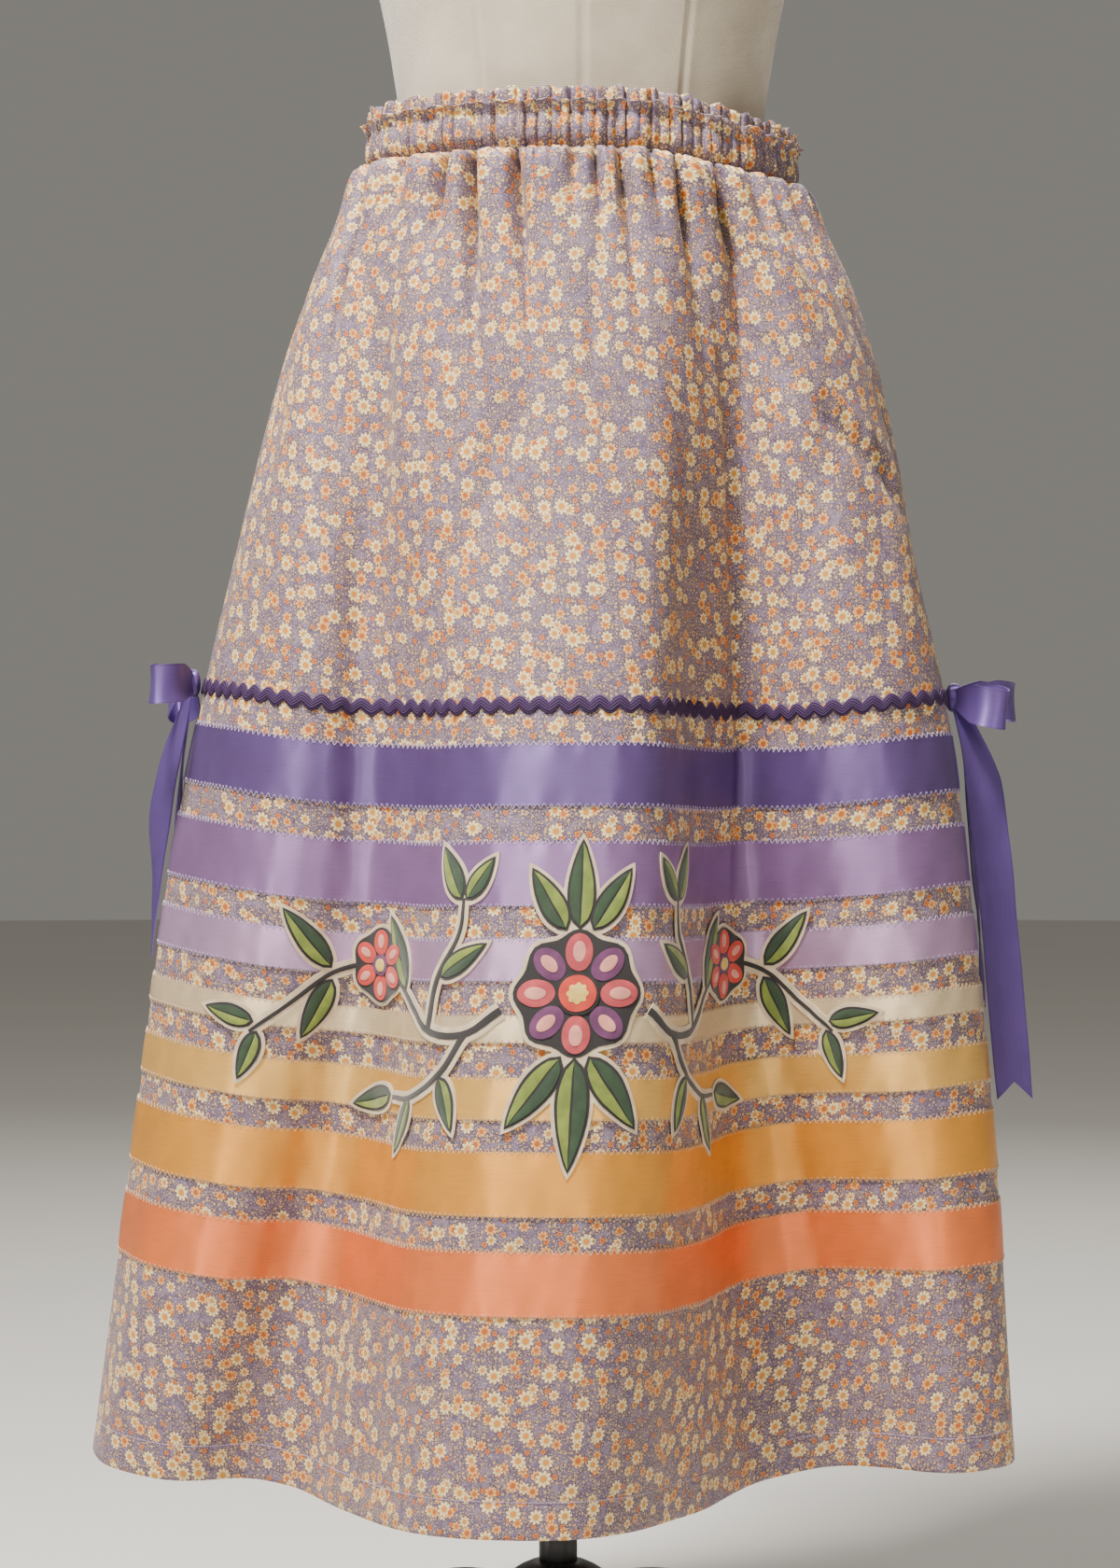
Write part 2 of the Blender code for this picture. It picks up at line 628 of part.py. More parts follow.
def strip(name, path, across, half_width, finish, collection):
    """A flat ribbon along a path: across points along its width at each place."""
    path, across = np.array(path, float), np.array(across, float)
    across /= np.linalg.norm(across, axis=1, keepdims=True)
    along = np.gradient(path, axis=0)
    face = np.cross(along, across)
    face /= np.linalg.norm(face, axis=1, keepdims=True)
    edge = across * np.broadcast_to(half_width, len(path))[:, None]
    rows = np.stack([path - edge, path + edge], axis=1)
    lift = TRIM_WALL / 2 * face[:, None, :]
    return grid_solid(name, rows + lift, rows - lift, finish, collection)


def bow_loop(name, centre, direction, length, finish, collection):
    """One loop: out along its direction, round, and back to the knot, pinched at its ends."""
    up = np.array((0, 0, 1.0)) - direction[2] * direction
    up /= np.linalg.norm(up)
    side = np.cross(up, direction)
    turn = np.linspace(0.14, 1, 9) * math.pi
    turn = np.concatenate([turn, 2 * math.pi - turn[-2::-1]])
    reach, swell = length * (1 - np.cos(turn)) / 2, 0.27 * length * np.sin(turn)
    path = centre + reach[:, None] * direction + swell[:, None] * side
    half = BOW_WIDTH / 2 * (0.42 + 0.58 * np.minimum(reach / (0.55 * length), 1) ** 0.8)
    strip(name, path, np.tile(up, (len(path), 1)), half, finish, collection)


def bow_tail(name, knot, side, tail, finish, collection):
    """One hanging end, turned to face between the front and the side."""
    downs = [row.down for row in tail.rows]
    down = np.linspace(downs[0], downs[-1], 9)
    out = through(downs, [row.out for row in tail.rows], down)
    forward = through(downs, [row.forward for row in tail.rows], down)
    path = knot + np.stack([side * out, -forward, -down], axis=1)
    turn = np.radians(through(downs, [row.facing for row in tail.rows], down))
    across = np.stack([np.cos(turn), side * np.sin(turn), np.zeros_like(turn)], axis=1)
    half = BOW_WIDTH / 2 * (0.5 + 0.5 * np.minimum((down - down[0]) / 40, 1))
    strip(name, path, across, half, finish, collection)


def bow(kind, collection):
    """A bow on a side seam: a knot, two loops and two tails, parted from each other."""
    seat = cloth_point(kind.around, RICK_RACK_DROP)
    out = normal_of(cloth_point, kind.around, RICK_RACK_DROP)
    knot = seat + (BOW_STANDOFF + np.linalg.norm(out * KNOT_RADII)) * out
    finish = material("bow_satin", (0.20, 0.12, 0.42), 0.35)
    mesh = bpy.data.meshes.new(f"bow_{kind.name}_knot")
    ball = bmesh.new()
    bmesh.ops.create_uvsphere(ball, u_segments=10, v_segments=6, radius=MM)
    bmesh.ops.scale(ball, vec=KNOT_RADII, verts=ball.verts)
    ball.to_mesh(mesh)
    ball.free()
    add(mesh.name, mesh, finish, collection).location = knot * MM
    for loop in kind.loops:
        direction = np.array((kind.side * loop.out, -loop.forward, loop.up))
        direction /= np.linalg.norm(direction)
        start = knot + (np.linalg.norm(direction * KNOT_RADII) + SEAM_GAP) * direction
        bow_loop(f"bow_{kind.name}_loop_{loop.name}", start, direction, loop.length, finish,
                 collection)
    for tail in kind.tails:
        bow_tail(f"bow_{kind.name}_tail_{tail.name}", knot, kind.side, tail, finish, collection)


# ---------------------------------------------------------------- dress form and stand


def form_body(collection):
    """The limbless form: ovals from below the hips to the neck, closed at both ends."""
    turn = np.arange(FORM_POINTS) * math.tau / FORM_POINTS
    shape = bmesh.new()
    rings = []
    for s in FORM_SECTIONS:
        depth = np.where(np.sin(turn) < 0, s.front, s.back)
        points = np.stack([s.shift + s.half_width * np.cos(turn), depth * np.sin(turn),
                           np.full(FORM_POINTS, s.height)], axis=1) * MM
        rings.append([shape.verts.new(p) for p in points])
    for lower, upper in zip(rings, rings[1:]):
        for k in range(FORM_POINTS):
            after = (k + 1) % FORM_POINTS
            shape.faces.new((lower[k], lower[after], upper[after], upper[k]))
    shape.faces.new(rings[0][::-1])
    shape.faces.new(rings[-1])
    mesh = bpy.data.meshes.new("dress_form")
    shape.to_mesh(mesh)
    shape.free()
    add("dress_form", mesh, material("form_cover", (0.62, 0.57, 0.50)), collection)


def cylinder(name, radius, height, sides, centre, finish, collection, stretch=1.0):
    """An upright cylinder from its middle, with its second radius stretched if asked."""
    shape = bmesh.new()
    bmesh.ops.create_cone(shape, cap_ends=True, segments=sides, radius1=radius * MM,
                          radius2=radius * MM, depth=height * MM)
    bmesh.ops.scale(shape, vec=(1, stretch, 1), verts=shape.verts)
    mesh = bpy.data.meshes.new(name)
    shape.to_mesh(mesh)
    shape.free()
    piece = add(name, mesh, finish, collection)
    piece.location = np.array(centre) * MM
    return piece


def stand(collection):
    """Neck cap, pole, domed hub, four arched legs and their flat feet."""
    black = material("black_steel", (0.02, 0.02, 0.022), 0.4, 0.6)
    top = FORM_SECTIONS[-1]
    across, deep = NECK_CAP_RADII
    cylinder("neck_cap", across, NECK_CAP_HEIGHT, FORM_POINTS,
             (top.shift, 0, top.height + SEAM_GAP + NECK_CAP_HEIGHT / 2), black, collection,
             deep / across)
    hub_low, pole_top = HUB_PROFILE[-1][1], FORM_SECTIONS[0].height - SEAM_GAP
    cylinder("stand_pole", POLE_RADIUS, pole_top - hub_low, POLE_SIDES,
             (0, 0, (pole_top + hub_low) / 2), black, collection)

    hub = bpy.data.meshes.new("stand_hub")
    inner = POLE_RADIUS + SEAM_GAP
    profile = [(inner, HUB_PROFILE[0][1]), *HUB_PROFILE, (inner, hub_low)]
    points = [(x * MM, 0, z * MM) for x, z in profile]
    hub.from_pydata(points, [(k, (k + 1) % len(points)) for k in range(len(points))], [])
    turned = add("stand_hub", hub, black, collection)
    screw = turned.modifiers.new("turn", "SCREW")
    screw.steps = screw.render_steps = HUB_STEPS
    screw.use_merge_vertices = True
    screw.merge_threshold = 0.0001
    screw.use_normal_calculate = True

    box = bpy.data.meshes.new("stand_pedal")
    shape = bmesh.new()
    bmesh.ops.create_cube(shape, size=MM)
    bmesh.ops.scale(shape, vec=PEDAL_SIZE, verts=shape.verts)
    shape.to_mesh(box)
    shape.free()
    add("stand_pedal", box, black, collection).location = np.array(PEDAL_PLACE) * MM

    for number, turn in enumerate(LEG_TURNS, 1):
        turn = math.radians(turn)
        curve = bpy.data.curves.new(f"stand_leg_{number}", "CURVE")
        curve.dimensions = "3D"
        curve.bevel_depth = LEG_RADIUS * MM
        curve.bevel_resolution = 1
        curve.use_fill_caps = True
        line = curve.splines.new("POLY")
        line.points.add(len(LEG_ARC) - 1)
        for point, (reach, height) in zip(line.points, LEG_ARC):
            point.co = (reach * math.cos(turn) * MM, reach * math.sin(turn) * MM,
                        (height + LEG_RADIUS) * MM, 1)
        leg = bpy.data.objects.new(curve.name, curve)
        curve.materials.append(black)
        collection.objects.link(leg)
        cylinder(f"stand_foot_{number}", FOOT_RADIUS, FOOT_HEIGHT, 12,
                 (LEG_REACH * math.cos(turn), LEG_REACH * math.sin(turn), FOOT_HEIGHT / 2),
                 black, collection)


def main():
    """Builds every piece of the skirt, then the form and the stand."""
    for old in list(bpy.data.objects):
        bpy.data.objects.remove(old)
    collection = bpy.data.collections.new("ribbon_skirt")
    bpy.context.scene.collection.children.link(collection)
    halves = (make_panel("front", FRONT_GATHERS, 0), make_panel("back", BACK_GATHERS, 1))
    for start, panel in enumerate(halves):
        skirt_panel(panel, collection)
        casing(panel.name, start, collection)
        rick_rack(panel, collection)
        for ribbon in RIBBONS:
            ribbon_piece(panel, ribbon, collection)
    applique(halves[0], collection)
    for kind in BOWS:
        bow(kind, collection)
    form_body(collection)
    stand(collection)


if __name__ == "__main__":
    main()
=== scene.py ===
"""Ribbon skirt on a dress form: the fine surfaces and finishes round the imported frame.

The skirt's surface has two coordinates, as a cutter would chalk them on the cloth. around runs
once round the skirt, 0 to 1 along the front from the left seam to the right seam and 1 to 2
along the back. drop is the length of cloth below the elastic casing. The object's sizes are in
millimetres until a mesh is made; MM turns them into metres. The studio's are in metres.
"""

from __future__ import annotations

import logging
import math
from collections.abc import Sequence
from dataclasses import dataclass, field
from enum import Enum
from typing import NamedTuple

import bpy
import numpy as np
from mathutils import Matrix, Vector
from mathutils.geometry import delaunay_2d_cdt

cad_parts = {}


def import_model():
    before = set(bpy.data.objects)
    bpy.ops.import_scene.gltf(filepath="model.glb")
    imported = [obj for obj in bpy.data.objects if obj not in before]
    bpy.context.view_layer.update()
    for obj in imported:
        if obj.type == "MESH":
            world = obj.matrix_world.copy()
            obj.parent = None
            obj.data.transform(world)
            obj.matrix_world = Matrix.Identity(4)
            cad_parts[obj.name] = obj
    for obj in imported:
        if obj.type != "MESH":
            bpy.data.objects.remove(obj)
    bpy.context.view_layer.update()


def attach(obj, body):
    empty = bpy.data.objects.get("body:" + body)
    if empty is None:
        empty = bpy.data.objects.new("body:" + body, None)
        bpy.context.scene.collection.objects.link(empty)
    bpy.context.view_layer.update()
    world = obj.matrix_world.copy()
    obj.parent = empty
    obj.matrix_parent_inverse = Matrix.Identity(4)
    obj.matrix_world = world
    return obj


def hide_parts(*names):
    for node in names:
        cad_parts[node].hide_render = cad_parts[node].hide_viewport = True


log = logging.getLogger("ribbon_skirt")

MM = 0.001
BODY = "root"
Colour = tuple[int, int, int]


class Half(Enum):
    """The two halves of the skirt and where each one starts round the cloth."""

    FRONT = 0
    BACK = 1

    @property
    def label(self) -> str:
        """The half's name in lower case."""
        return self.name.lower()


# ------------------------------------------------------------------ tables of the cloth's form


class Section(NamedTuple):
    """The oval at a drop: half widths, reach forward and back, seams' place and lean."""

    drop: float
    left: float
    right: float
    front: float
    back: float
    seam: float
    lean: float


class Fold(NamedTuple):
    """A large fold: its place and reach, and how far it stands out at four drops."""

    name: str
    hip_at: float
    band_at: float
    hem_at: float
    reach: float
    hem_reach: float
    hip: float
    band: float
    calf: float
    hem: float


class Gather(NamedTuple):
    """A small fold under the casing: place, depth, length and drift across the cloth."""

    at: float
    depth: float
    length: float
    drift: float


class Crease(NamedTuple):
    """A soft trough (or ridge where depth is negative), its middle, half sizes and slant.

    near is the width on its left side as a share of that on its right, for a sharp fold edge.
    """

    at: float
    drop: float
    length: float
    width: float
    slant: float
    depth: float
    near: float = 1.0


class Ribbon(NamedTuple):
    """A satin ribbon: its start below the casing, width and colour, and its thread's name."""

    name: str
    drop: float
    width: float
    colour: Colour
    thread: str


SECTIONS = (
    Section(0, 116, 146, 97, 92, 0, 14),
    Section(25, 130, 161, 104, 104, 0, 14),
    Section(60, 146, 179, 108, 114, 1, 13),
    Section(110, 165, 196, 110, 122, 2, 12),
    Section(180, 184, 212, 110, 124, 4, 11),
    Section(260, 203, 225, 108, 121, 6, 9),
    Section(342, 222, 240, 105, 117, 9, 7),
    Section(460, 245, 254, 98, 111, 13, 3),
    Section(600, 264, 268, 88, 104, 17, 0),
    Section(829, 294, 281, 75, 94, 22, -4),
)
FOLDS = (
    Fold("left side lobe", 0.12, 0.17, 0.10, 0.080, 0.060, 2, 10, 12, 14),
    Fold("left valley", 0.19, 0.30, 0.224, 0.050, 0.061, -8, -10, -20, -28),
    Fold("front lobe", 0.52, 0.509, 0.474, 0.170, 0.136, 5, 42, 88, 108),
    Fold("right valley", 0.69, 0.68, 0.76, 0.060, 0.093, -16, -48, -52, -50),
    Fold("right side lobe", 0.84, 0.865, 0.91, 0.090, 0.060, 6, 24, 27, 28),
    Fold("back right valley", 1.08, 1.09, 1.10, 0.045, 0.050, -3, -7, -10, -12),
    Fold("back right lobe", 1.27, 1.27, 1.27, 0.110, 0.105, 4, 34, 64, 84),
    Fold("back valley", 1.49, 1.50, 1.52, 0.060, 0.070, -6, -22, -32, -38),
    Fold("back left lobe", 1.74, 1.73, 1.72, 0.110, 0.110, 4, 38, 70, 94),
    Fold("back left valley", 1.91, 1.90, 1.90, 0.045, 0.050, -3, -8, -12, -14),
)
FRONT_GATHERS = (
    Gather(0.085, 6.0, 260, 0.13),
    Gather(0.190, 3.5, 45, 0.00),
    Gather(0.270, 6.0, 75, 0.00),
    Gather(0.315, 7.0, 190, 0.06),
    Gather(0.390, 6.0, 150, 0.045),
    Gather(0.485, 4.5, 40, 0.00),
    Gather(0.520, 4.0, 65, 0.00),
    Gather(0.560, 5.0, 100, 0.00),
    Gather(0.610, 4.5, 50, 0.00),
    Gather(0.655, 6.0, 110, 0.00),
    Gather(0.725, 6.0, 260, -0.03),
    Gather(0.785, 4.5, 60, 0.00),
    Gather(0.830, 5.0, 85, 0.00),
    Gather(0.875, 5.5, 120, 0.01),
    Gather(0.940, 4.0, 120, 0.00),
)
BACK_GATHERS = tuple(
    Gather(2.0 - g.at, g.depth, 0.8 * g.length, -g.drift) for g in reversed(FRONT_GATHERS)
)
CREASES = (
    # front: troughs are positive and ridges negative
    Crease(0.222, 215, 120, 13, 0.10, 3.6),
    Crease(0.262, 250, 95, 14, 0.05, -2.0),
    Crease(0.165, 80, 60, 9, 0.45, 2.2),
    Crease(0.375, 205, 52, 13, -0.36, 4.2),
    Crease(0.410, 250, 90, 19, 0.10, 3.4),
    Crease(0.505, 104, 34, 7, 0.00, 1.8),
    Crease(0.540, 215, 80, 20, 0.14, 2.6),
    Crease(0.590, 130, 60, 13, 0.16, 1.9),
    Crease(0.652, 265, 160, 18, 0.02, -5.0),
    Crease(0.688, 275, 165, 24, 0.02, 5.0, 0.14),
    Crease(0.228, 275, 185, 19, 0.03, 5.2, 0.6),
    Crease(0.640, 330, 60, 14, 0.10, -1.6),
    Crease(0.745, 95, 50, 9, 0.30, 2.4),
    Crease(0.795, 150, 40, 9, 0.85, 3.4),
    Crease(0.835, 160, 30, 8, 1.05, -3.2),
    Crease(0.850, 186, 34, 9, 0.95, 3.0),
    Crease(0.780, 225, 70, 16, -0.25, 3.8),
    Crease(0.890, 203, 20, 6, 0.30, 3.2),
    Crease(0.920, 130, 70, 8, 0.22, 2.8),
    Crease(0.880, 260, 70, 14, -0.20, -2.0),
    Crease(0.090, 240, 110, 18, 0.12, 3.0),
    Crease(0.050, 150, 60, 11, 0.26, 1.9),
    Crease(0.300, 700, 120, 24, 0.05, 2.6),
    Crease(0.440, 735, 90, 26, -0.06, 1.8),
    Crease(0.600, 740, 95, 24, 0.10, 2.0),
    Crease(0.845, 735, 90, 20, -0.05, 2.2),
    # back: similar ones, no two alike
    Crease(1.120, 150, 60, 10, 0.20, 2.6),
    Crease(1.205, 210, 90, 14, -0.12, 2.4),
    Crease(1.290, 90, 55, 10, 0.10, 2.0),
    Crease(1.350, 250, 90, 16, 0.08, -2.2),
    Crease(1.430, 200, 80, 10, -0.05, 3.4),
    Crease(1.500, 240, 110, 8, 0.02, 4.2),
    Crease(1.565, 160, 60, 12, 0.30, 2.0),
    Crease(1.640, 110, 60, 10, -0.14, 2.4),
    Crease(1.715, 230, 80, 16, 0.10, 1.8),
    Crease(1.800, 180, 46, 9, 0.80, 2.8),
    Crease(1.850, 150, 50, 10, -0.60, 2.2),
    Crease(1.930, 220, 80, 12, 0.16, 2.0),
    Crease(1.220, 715, 100, 24, 0.04, 2.2),
    Crease(1.400, 735, 90, 22, -0.06, 2.0),
    Crease(1.650, 725, 95, 24, 0.05, 2.2),
    Crease(1.820, 735, 90, 22, -0.04, 2.0),
)
RIBBONS = (
    Ribbon("purple", 365, 37, (94, 72, 122), "lilac"),
    Ribbon("lavender", 423, 38, (132, 100, 144), "lilac"),
    Ribbon("light_lavender", 480, 25, (170, 138, 170), "lilac"),
    Ribbon("cream", 525, 16, (212, 190, 152), "cream"),
    Ribbon("light_gold", 561, 25, (216, 166, 84), "cream"),
    Ribbon("gold", 604, 38, (216, 146, 50), "cream"),
    Ribbon("coral", 662, 38, (226, 118, 58), "cream"),
)


def through(levels: Sequence[float], values: Sequence[float], at: np.ndarray | float) -> np.ndarray:
    """A smooth curve through a table's values: cubic pieces with the table's own slopes.

    Args:
        levels: where the values are given, rising.
        values: the values there.
        at: where the curve is wanted.

    Returns:
        The curve's values at those places.
    """
    levels, values = np.asarray(levels, float), np.asarray(values, float)
    slopes = np.gradient(values, levels)
    at = np.clip(at, levels[0], levels[-1])
    i = np.clip(np.searchsorted(levels, at, side="right") - 1, 0, len(levels) - 2)
    span = levels[i + 1] - levels[i]
    k = (at - levels[i]) / span
    return (
        (2 * k**3 - 3 * k**2 + 1) * values[i]
        + (k**3 - 2 * k**2 + k) * span * slopes[i]
        + (3 * k**2 - 2 * k**3) * values[i + 1]
        + (k**3 - k**2) * span * slopes[i + 1]
    )


def unit(vectors: np.ndarray) -> np.ndarray:
    """Vectors of the same direction and length one."""
    return vectors / np.linalg.norm(vectors, axis=-1, keepdims=True)


def running(steps: np.ndarray) -> np.ndarray:
    """Lengths along a line, from nought, out of the lengths of its steps."""
    return np.concatenate([[0], np.cumsum(steps)])


def lengths(line: np.ndarray) -> np.ndarray:
    """The length of each step of a line of points."""
    return np.linalg.norm(np.diff(line, axis=0), axis=1)


@dataclass
class SkirtSurface:
    """The cloth's outer face as a function of around and drop.

    A section is an oval pushed in and out by large folds. Its points are spaced evenly along
    the folded length, and each thread falls by what its slant leaves of the cloth's length.
    """

    waist_height: float = 978.0
    lean_from: float = 40.0
    length: float = 829.0
    hip_drop: float = 110.0
    band_drop: float = 342.0
    calf_drop: float = 600.0
    casing_gathers: int = 54
    gather_reach: float = 0.0125
    soft_share: float = 0.40
    sharp_share: float = 0.80
    sharp_reach: float = 0.44
    sharp_power: float = 1.5
    gather_fall: float = 0.75
    deepening: float = 1.7
    deepening_drop: float = 85.0
    tuck: float = 2.4
    tuck_drop: float = 3.0
    puff: float = 8.5
    puff_drop: float = 10.0
    ring_samples: int = 361
    height_step: float = 5.0
    pleat_depth: float = 5.5
    pleat_mean: float = 0.75
    pleat_top: float = 4.0
    ridge_wander: float = 0.42
    ridge_power: float = 0.55
    top_width: float = 361.0
    hem_width: float = 861.0
    widening: float = 0.62
    pucker: float = 0.34
    pucker_wave: float = 19.0
    pucker_reach: float = 8.0
    slope_around: float = 0.002
    slope_drop: float = 2.0
    drops: np.ndarray = field(init=False)
    arounds: np.ndarray = field(init=False)
    form: np.ndarray = field(init=False)

    def __post_init__(self) -> None:
        """Works out the table of the folded cloth."""
        self.drops = np.arange(0, self.length + self.height_step, self.height_step)
        self.arounds = np.linspace(0, 2, 2 * self.ring_samples - 1)
        plan = np.zeros((len(self.drops), len(self.arounds), 2))
        for row, drop in enumerate(self.drops):
            at, x, y = self.ring(float(drop))
            plan[row, :, 0] = np.interp(self.arounds, at, x)
            plan[row, :, 1] = np.interp(self.arounds, at, y)
        slant = np.linalg.norm(np.diff(plan, axis=0), axis=2)
        step = self.height_step
        fall = np.sqrt(np.maximum(step**2 - slant**2, 0.04 * step**2))
        start = plan[0, :, 0]
        k = np.clip((start - self.lean_from) / (self.size("right", 0.0) - self.lean_from), 0, 1)
        height = self.waist_height - self.size("lean", self.drops)[:, None] * k * k * (3 - 2 * k)
        height[1:] -= np.cumsum(fall, axis=0)
        self.form = np.dstack([plan, height])

    def size(self, column: str, drop: np.ndarray | float) -> np.ndarray:
        """One of the oval's sizes at a drop."""
        return through([s.drop for s in SECTIONS], [getattr(s, column) for s in SECTIONS], drop)

    def folds(self, place: np.ndarray, drop: float) -> np.ndarray:
        """How far the large folds push the oval out: depth times exp(-|away / reach|^3)."""
        out = np.zeros_like(place)
        levels = (0, self.hip_drop, self.band_drop, self.calf_drop, self.length)
        for fold in FOLDS:
            at = through((0, self.hip_drop, self.band_drop, self.length),
                         (fold.hip_at, fold.hip_at, fold.band_at, fold.hem_at), drop)
            reach = fold.reach + (fold.hem_reach - fold.reach) * drop / self.length
            depth = through(levels, (0, fold.hip, fold.band, fold.calf, fold.hem), drop)
            away = (place - at + 1) % 2 - 1
            out += depth * np.exp(-np.abs(away / reach) ** 3)
        return out

    def ring(self, drop: float) -> list[np.ndarray]:
        """The folded section at a drop.

        Args:
            drop: length of cloth below the casing.

        Returns:
            around, x and y of points along the front and then the back.
        """
        left, right = self.size("left", drop), self.size("right", drop)
        half, middle, seam = (left + right) / 2, (right - left) / 2, self.size("seam", drop)
        turn = np.linspace(0, math.pi, self.ring_samples)
        halves = []
        for start, depth, facing in ((0, self.size("front", drop) + seam, -1),
                                     (1, self.size("back", drop) - seam, 1)):
            x, y = half * np.cos(turn) * facing, depth * np.sin(turn) * facing
            along = running(np.hypot(np.diff(x), np.diff(y)))
            push = self.folds(start + along / along[-1], drop)
            across = np.stack([depth * np.cos(turn) * facing, half * np.sin(turn) * facing])
            across /= np.linalg.norm(across, axis=0)
            x, y = x + middle + push * across[0], y + seam + push * across[1]
            along = running(np.hypot(np.diff(x), np.diff(y)))
            halves.append((start + along / along[-1], x, y))
        return [np.concatenate([halves[0][k], halves[1][k][1:]]) for k in range(3)]

    def plain(self, around: np.ndarray, drop: np.ndarray) -> np.ndarray:
        """Points of the folded cloth without gathers, read between the table's four nearest."""
        around, drop = np.broadcast_arrays(np.asarray(around, float) % 2, np.asarray(drop, float))
        c = around / (self.arounds[1] - self.arounds[0])
        r = np.clip(drop / self.height_step, 0, len(self.drops) - 1.001)
        c0, r0 = np.clip(c.astype(int), 0, len(self.arounds) - 2), r.astype(int)
        kc, kr = (c - c0)[..., None], (r - r0)[..., None]
        upper = self.form[r0, c0] * (1 - kc) + self.form[r0, c0 + 1] * kc
        lower = self.form[r0 + 1, c0] * (1 - kc) + self.form[r0 + 1, c0 + 1] * kc
        return upper * (1 - kr) + lower * kr

    def facing(self, around: np.ndarray, drop: np.ndarray, fine: bool = True) -> np.ndarray:
        """Outward directions, from the surface's slopes along its two coordinates.

        Args:
            around: places round the cloth.
            drop: lengths of cloth below the casing.
            fine: whether the gathers and creases count.

        Returns:
            One unit vector for each place.
        """
        surface = self.point if fine else self.plain
        step = self.slope_around
        across = surface(around + step, drop) - surface(around - step, drop)
        down = surface(around, np.minimum(drop + self.slope_drop, self.length))
        down = down - surface(around, np.maximum(drop - self.slope_drop, 0))
        return unit(np.cross(down, across))

    def ridge(self, around: np.ndarray) -> np.ndarray:
        """The elastic's pleats: up to 1 on the broad ridges, falling into narrow valleys."""
        count = 2 * self.casing_gathers
        index = np.arange(count + 1)
        warp = index + self.ridge_wander * np.sin(2.4 * index) * (index % count > 0)
        turn = np.floor(around)
        at = np.interp((around - turn) * count, warp, index)
        deep = 0.70 + 0.30 * np.sin(2.7 * np.round(at / 2) + 1.3 * turn)
        crown = 0.86 + 0.14 * np.sin(0.9 * at + 2 * turn)
        return crown * (1 - deep * (1 - np.abs(np.sin(math.pi * at / 2)) ** self.ridge_power))

    def gathers(self, around: np.ndarray, drop: np.ndarray) -> np.ndarray:
        """How far gathers, pleats, creases and ribbon pucker move the cloth out.

        Each gather is a soft trough with a sharp one at its bottom: shares of its depth times
        exp(-away^2) and exp(-(away / reach)^1.5), both times exp(-(along / fall)^2). It is
        deeper under the casing. Pleats fade within a few centimetres, each at its own length.

        Args:
            around: places round the cloth.
            drop: lengths of cloth below the casing.

        Returns:
            The distance outwards, for each place.
        """
        around, drop = np.broadcast_arrays(np.asarray(around, float) % 2, np.asarray(drop, float))
        out = self.puff * (drop / self.puff_drop) * np.exp(1 - drop / self.puff_drop)
        out = out - self.tuck * np.exp(-np.maximum(drop, 0) / self.tuck_drop)
        for gather in FRONT_GATHERS + BACK_GATHERS:
            along = drop / gather.length
            away = around - gather.at - gather.drift * np.minimum(along, 1)
            reach = self.gather_reach * (1 + np.minimum(along, 1))
            rise = np.minimum(drop / self.puff_drop, 1)
            beside = np.abs(away / reach)
            sharp = np.exp(-((beside / self.sharp_reach) ** self.sharp_power))
            trough = self.soft_share * np.exp(-(beside**2)) + self.sharp_share * sharp
            trough = trough * np.exp(-((along / self.gather_fall) ** 2))
            deeper = 1 + self.deepening * np.exp(-((drop / self.deepening_drop) ** 2))
            out = out - deeper * gather.depth * rise * trough
        number = around * self.casing_gathers
        fade = 17 + 8 * np.sin(0.9 * number) + 6 * np.sin(0.37 * number + 2)
        pleat = self.ridge(around) - self.pleat_mean
        below = np.maximum(drop - self.pleat_top, 0)
        out = out + self.pleat_depth * pleat * np.exp(-below / fade)
        share = np.clip(drop / self.length, 0, 1) ** self.widening
        wide = self.top_width + (self.hem_width - self.top_width) * share
        for crease in CREASES:
            along = (drop - crease.drop) / crease.length
            away = (around - crease.at) * wide - crease.slant * (drop - crease.drop)
            width = crease.width * np.where(away < 0, crease.near, 1.0)
            out = out - crease.depth * np.exp(-(along**4) - (away / width) ** 2)
        for ribbon in RIBBONS:
            for edge in (ribbon.drop, ribbon.drop + ribbon.width):
                wave = np.sin(around * wide * math.tau / self.pucker_wave + edge
                              + 2 * np.sin(around * 23 + edge))
                out = out + self.pucker * wave * np.exp(-(((drop - edge) / self.pucker_reach) ** 2))
        return out

    def point(self, around: np.ndarray, drop: np.ndarray) -> np.ndarray:
        """Points of the cloth's outer face."""
        around, drop = np.broadcast_arrays(np.asarray(around, float), np.asarray(drop, float))
        return self.plain(around, drop) + self.gathers(around, drop)[..., None] * self.facing(
            around, drop, fine=False
        )

    def lifted(self, around: np.ndarray, drop: np.ndarray, height: float) -> np.ndarray:
        """Points at a height above the cloth's outer face."""
        return self.point(around, drop) + height * self.facing(around, drop)

    def arc(self, arounds: np.ndarray, drop: float) -> float:
        """Length of cloth along one row of points, in millimetres."""
        return float(lengths(self.point(arounds, drop)).sum())


# ------------------------------------------------------------------ meshes


def grid_quads(rows: int, columns: int) -> np.ndarray:
    """Quads of a grid of points, facing the viewer when rows run down and columns right."""
    corner = (np.arange(rows - 1)[:, None] * columns + np.arange(columns - 1)).reshape(-1)
    return np.stack([corner, corner + columns, corner + columns + 1, corner + 1], axis=1)


def grid_rim(rows: int, columns: int) -> np.ndarray:
    """The indices round a grid's edge, in the order of its quads' outer edges."""
    top, bottom = np.arange(columns), (rows - 1) * columns + np.arange(columns)
    left, right = np.arange(rows) * columns, np.arange(rows) * columns + columns - 1
    return np.concatenate([left[:-1], bottom[:-1], right[:0:-1], top[:0:-1]])


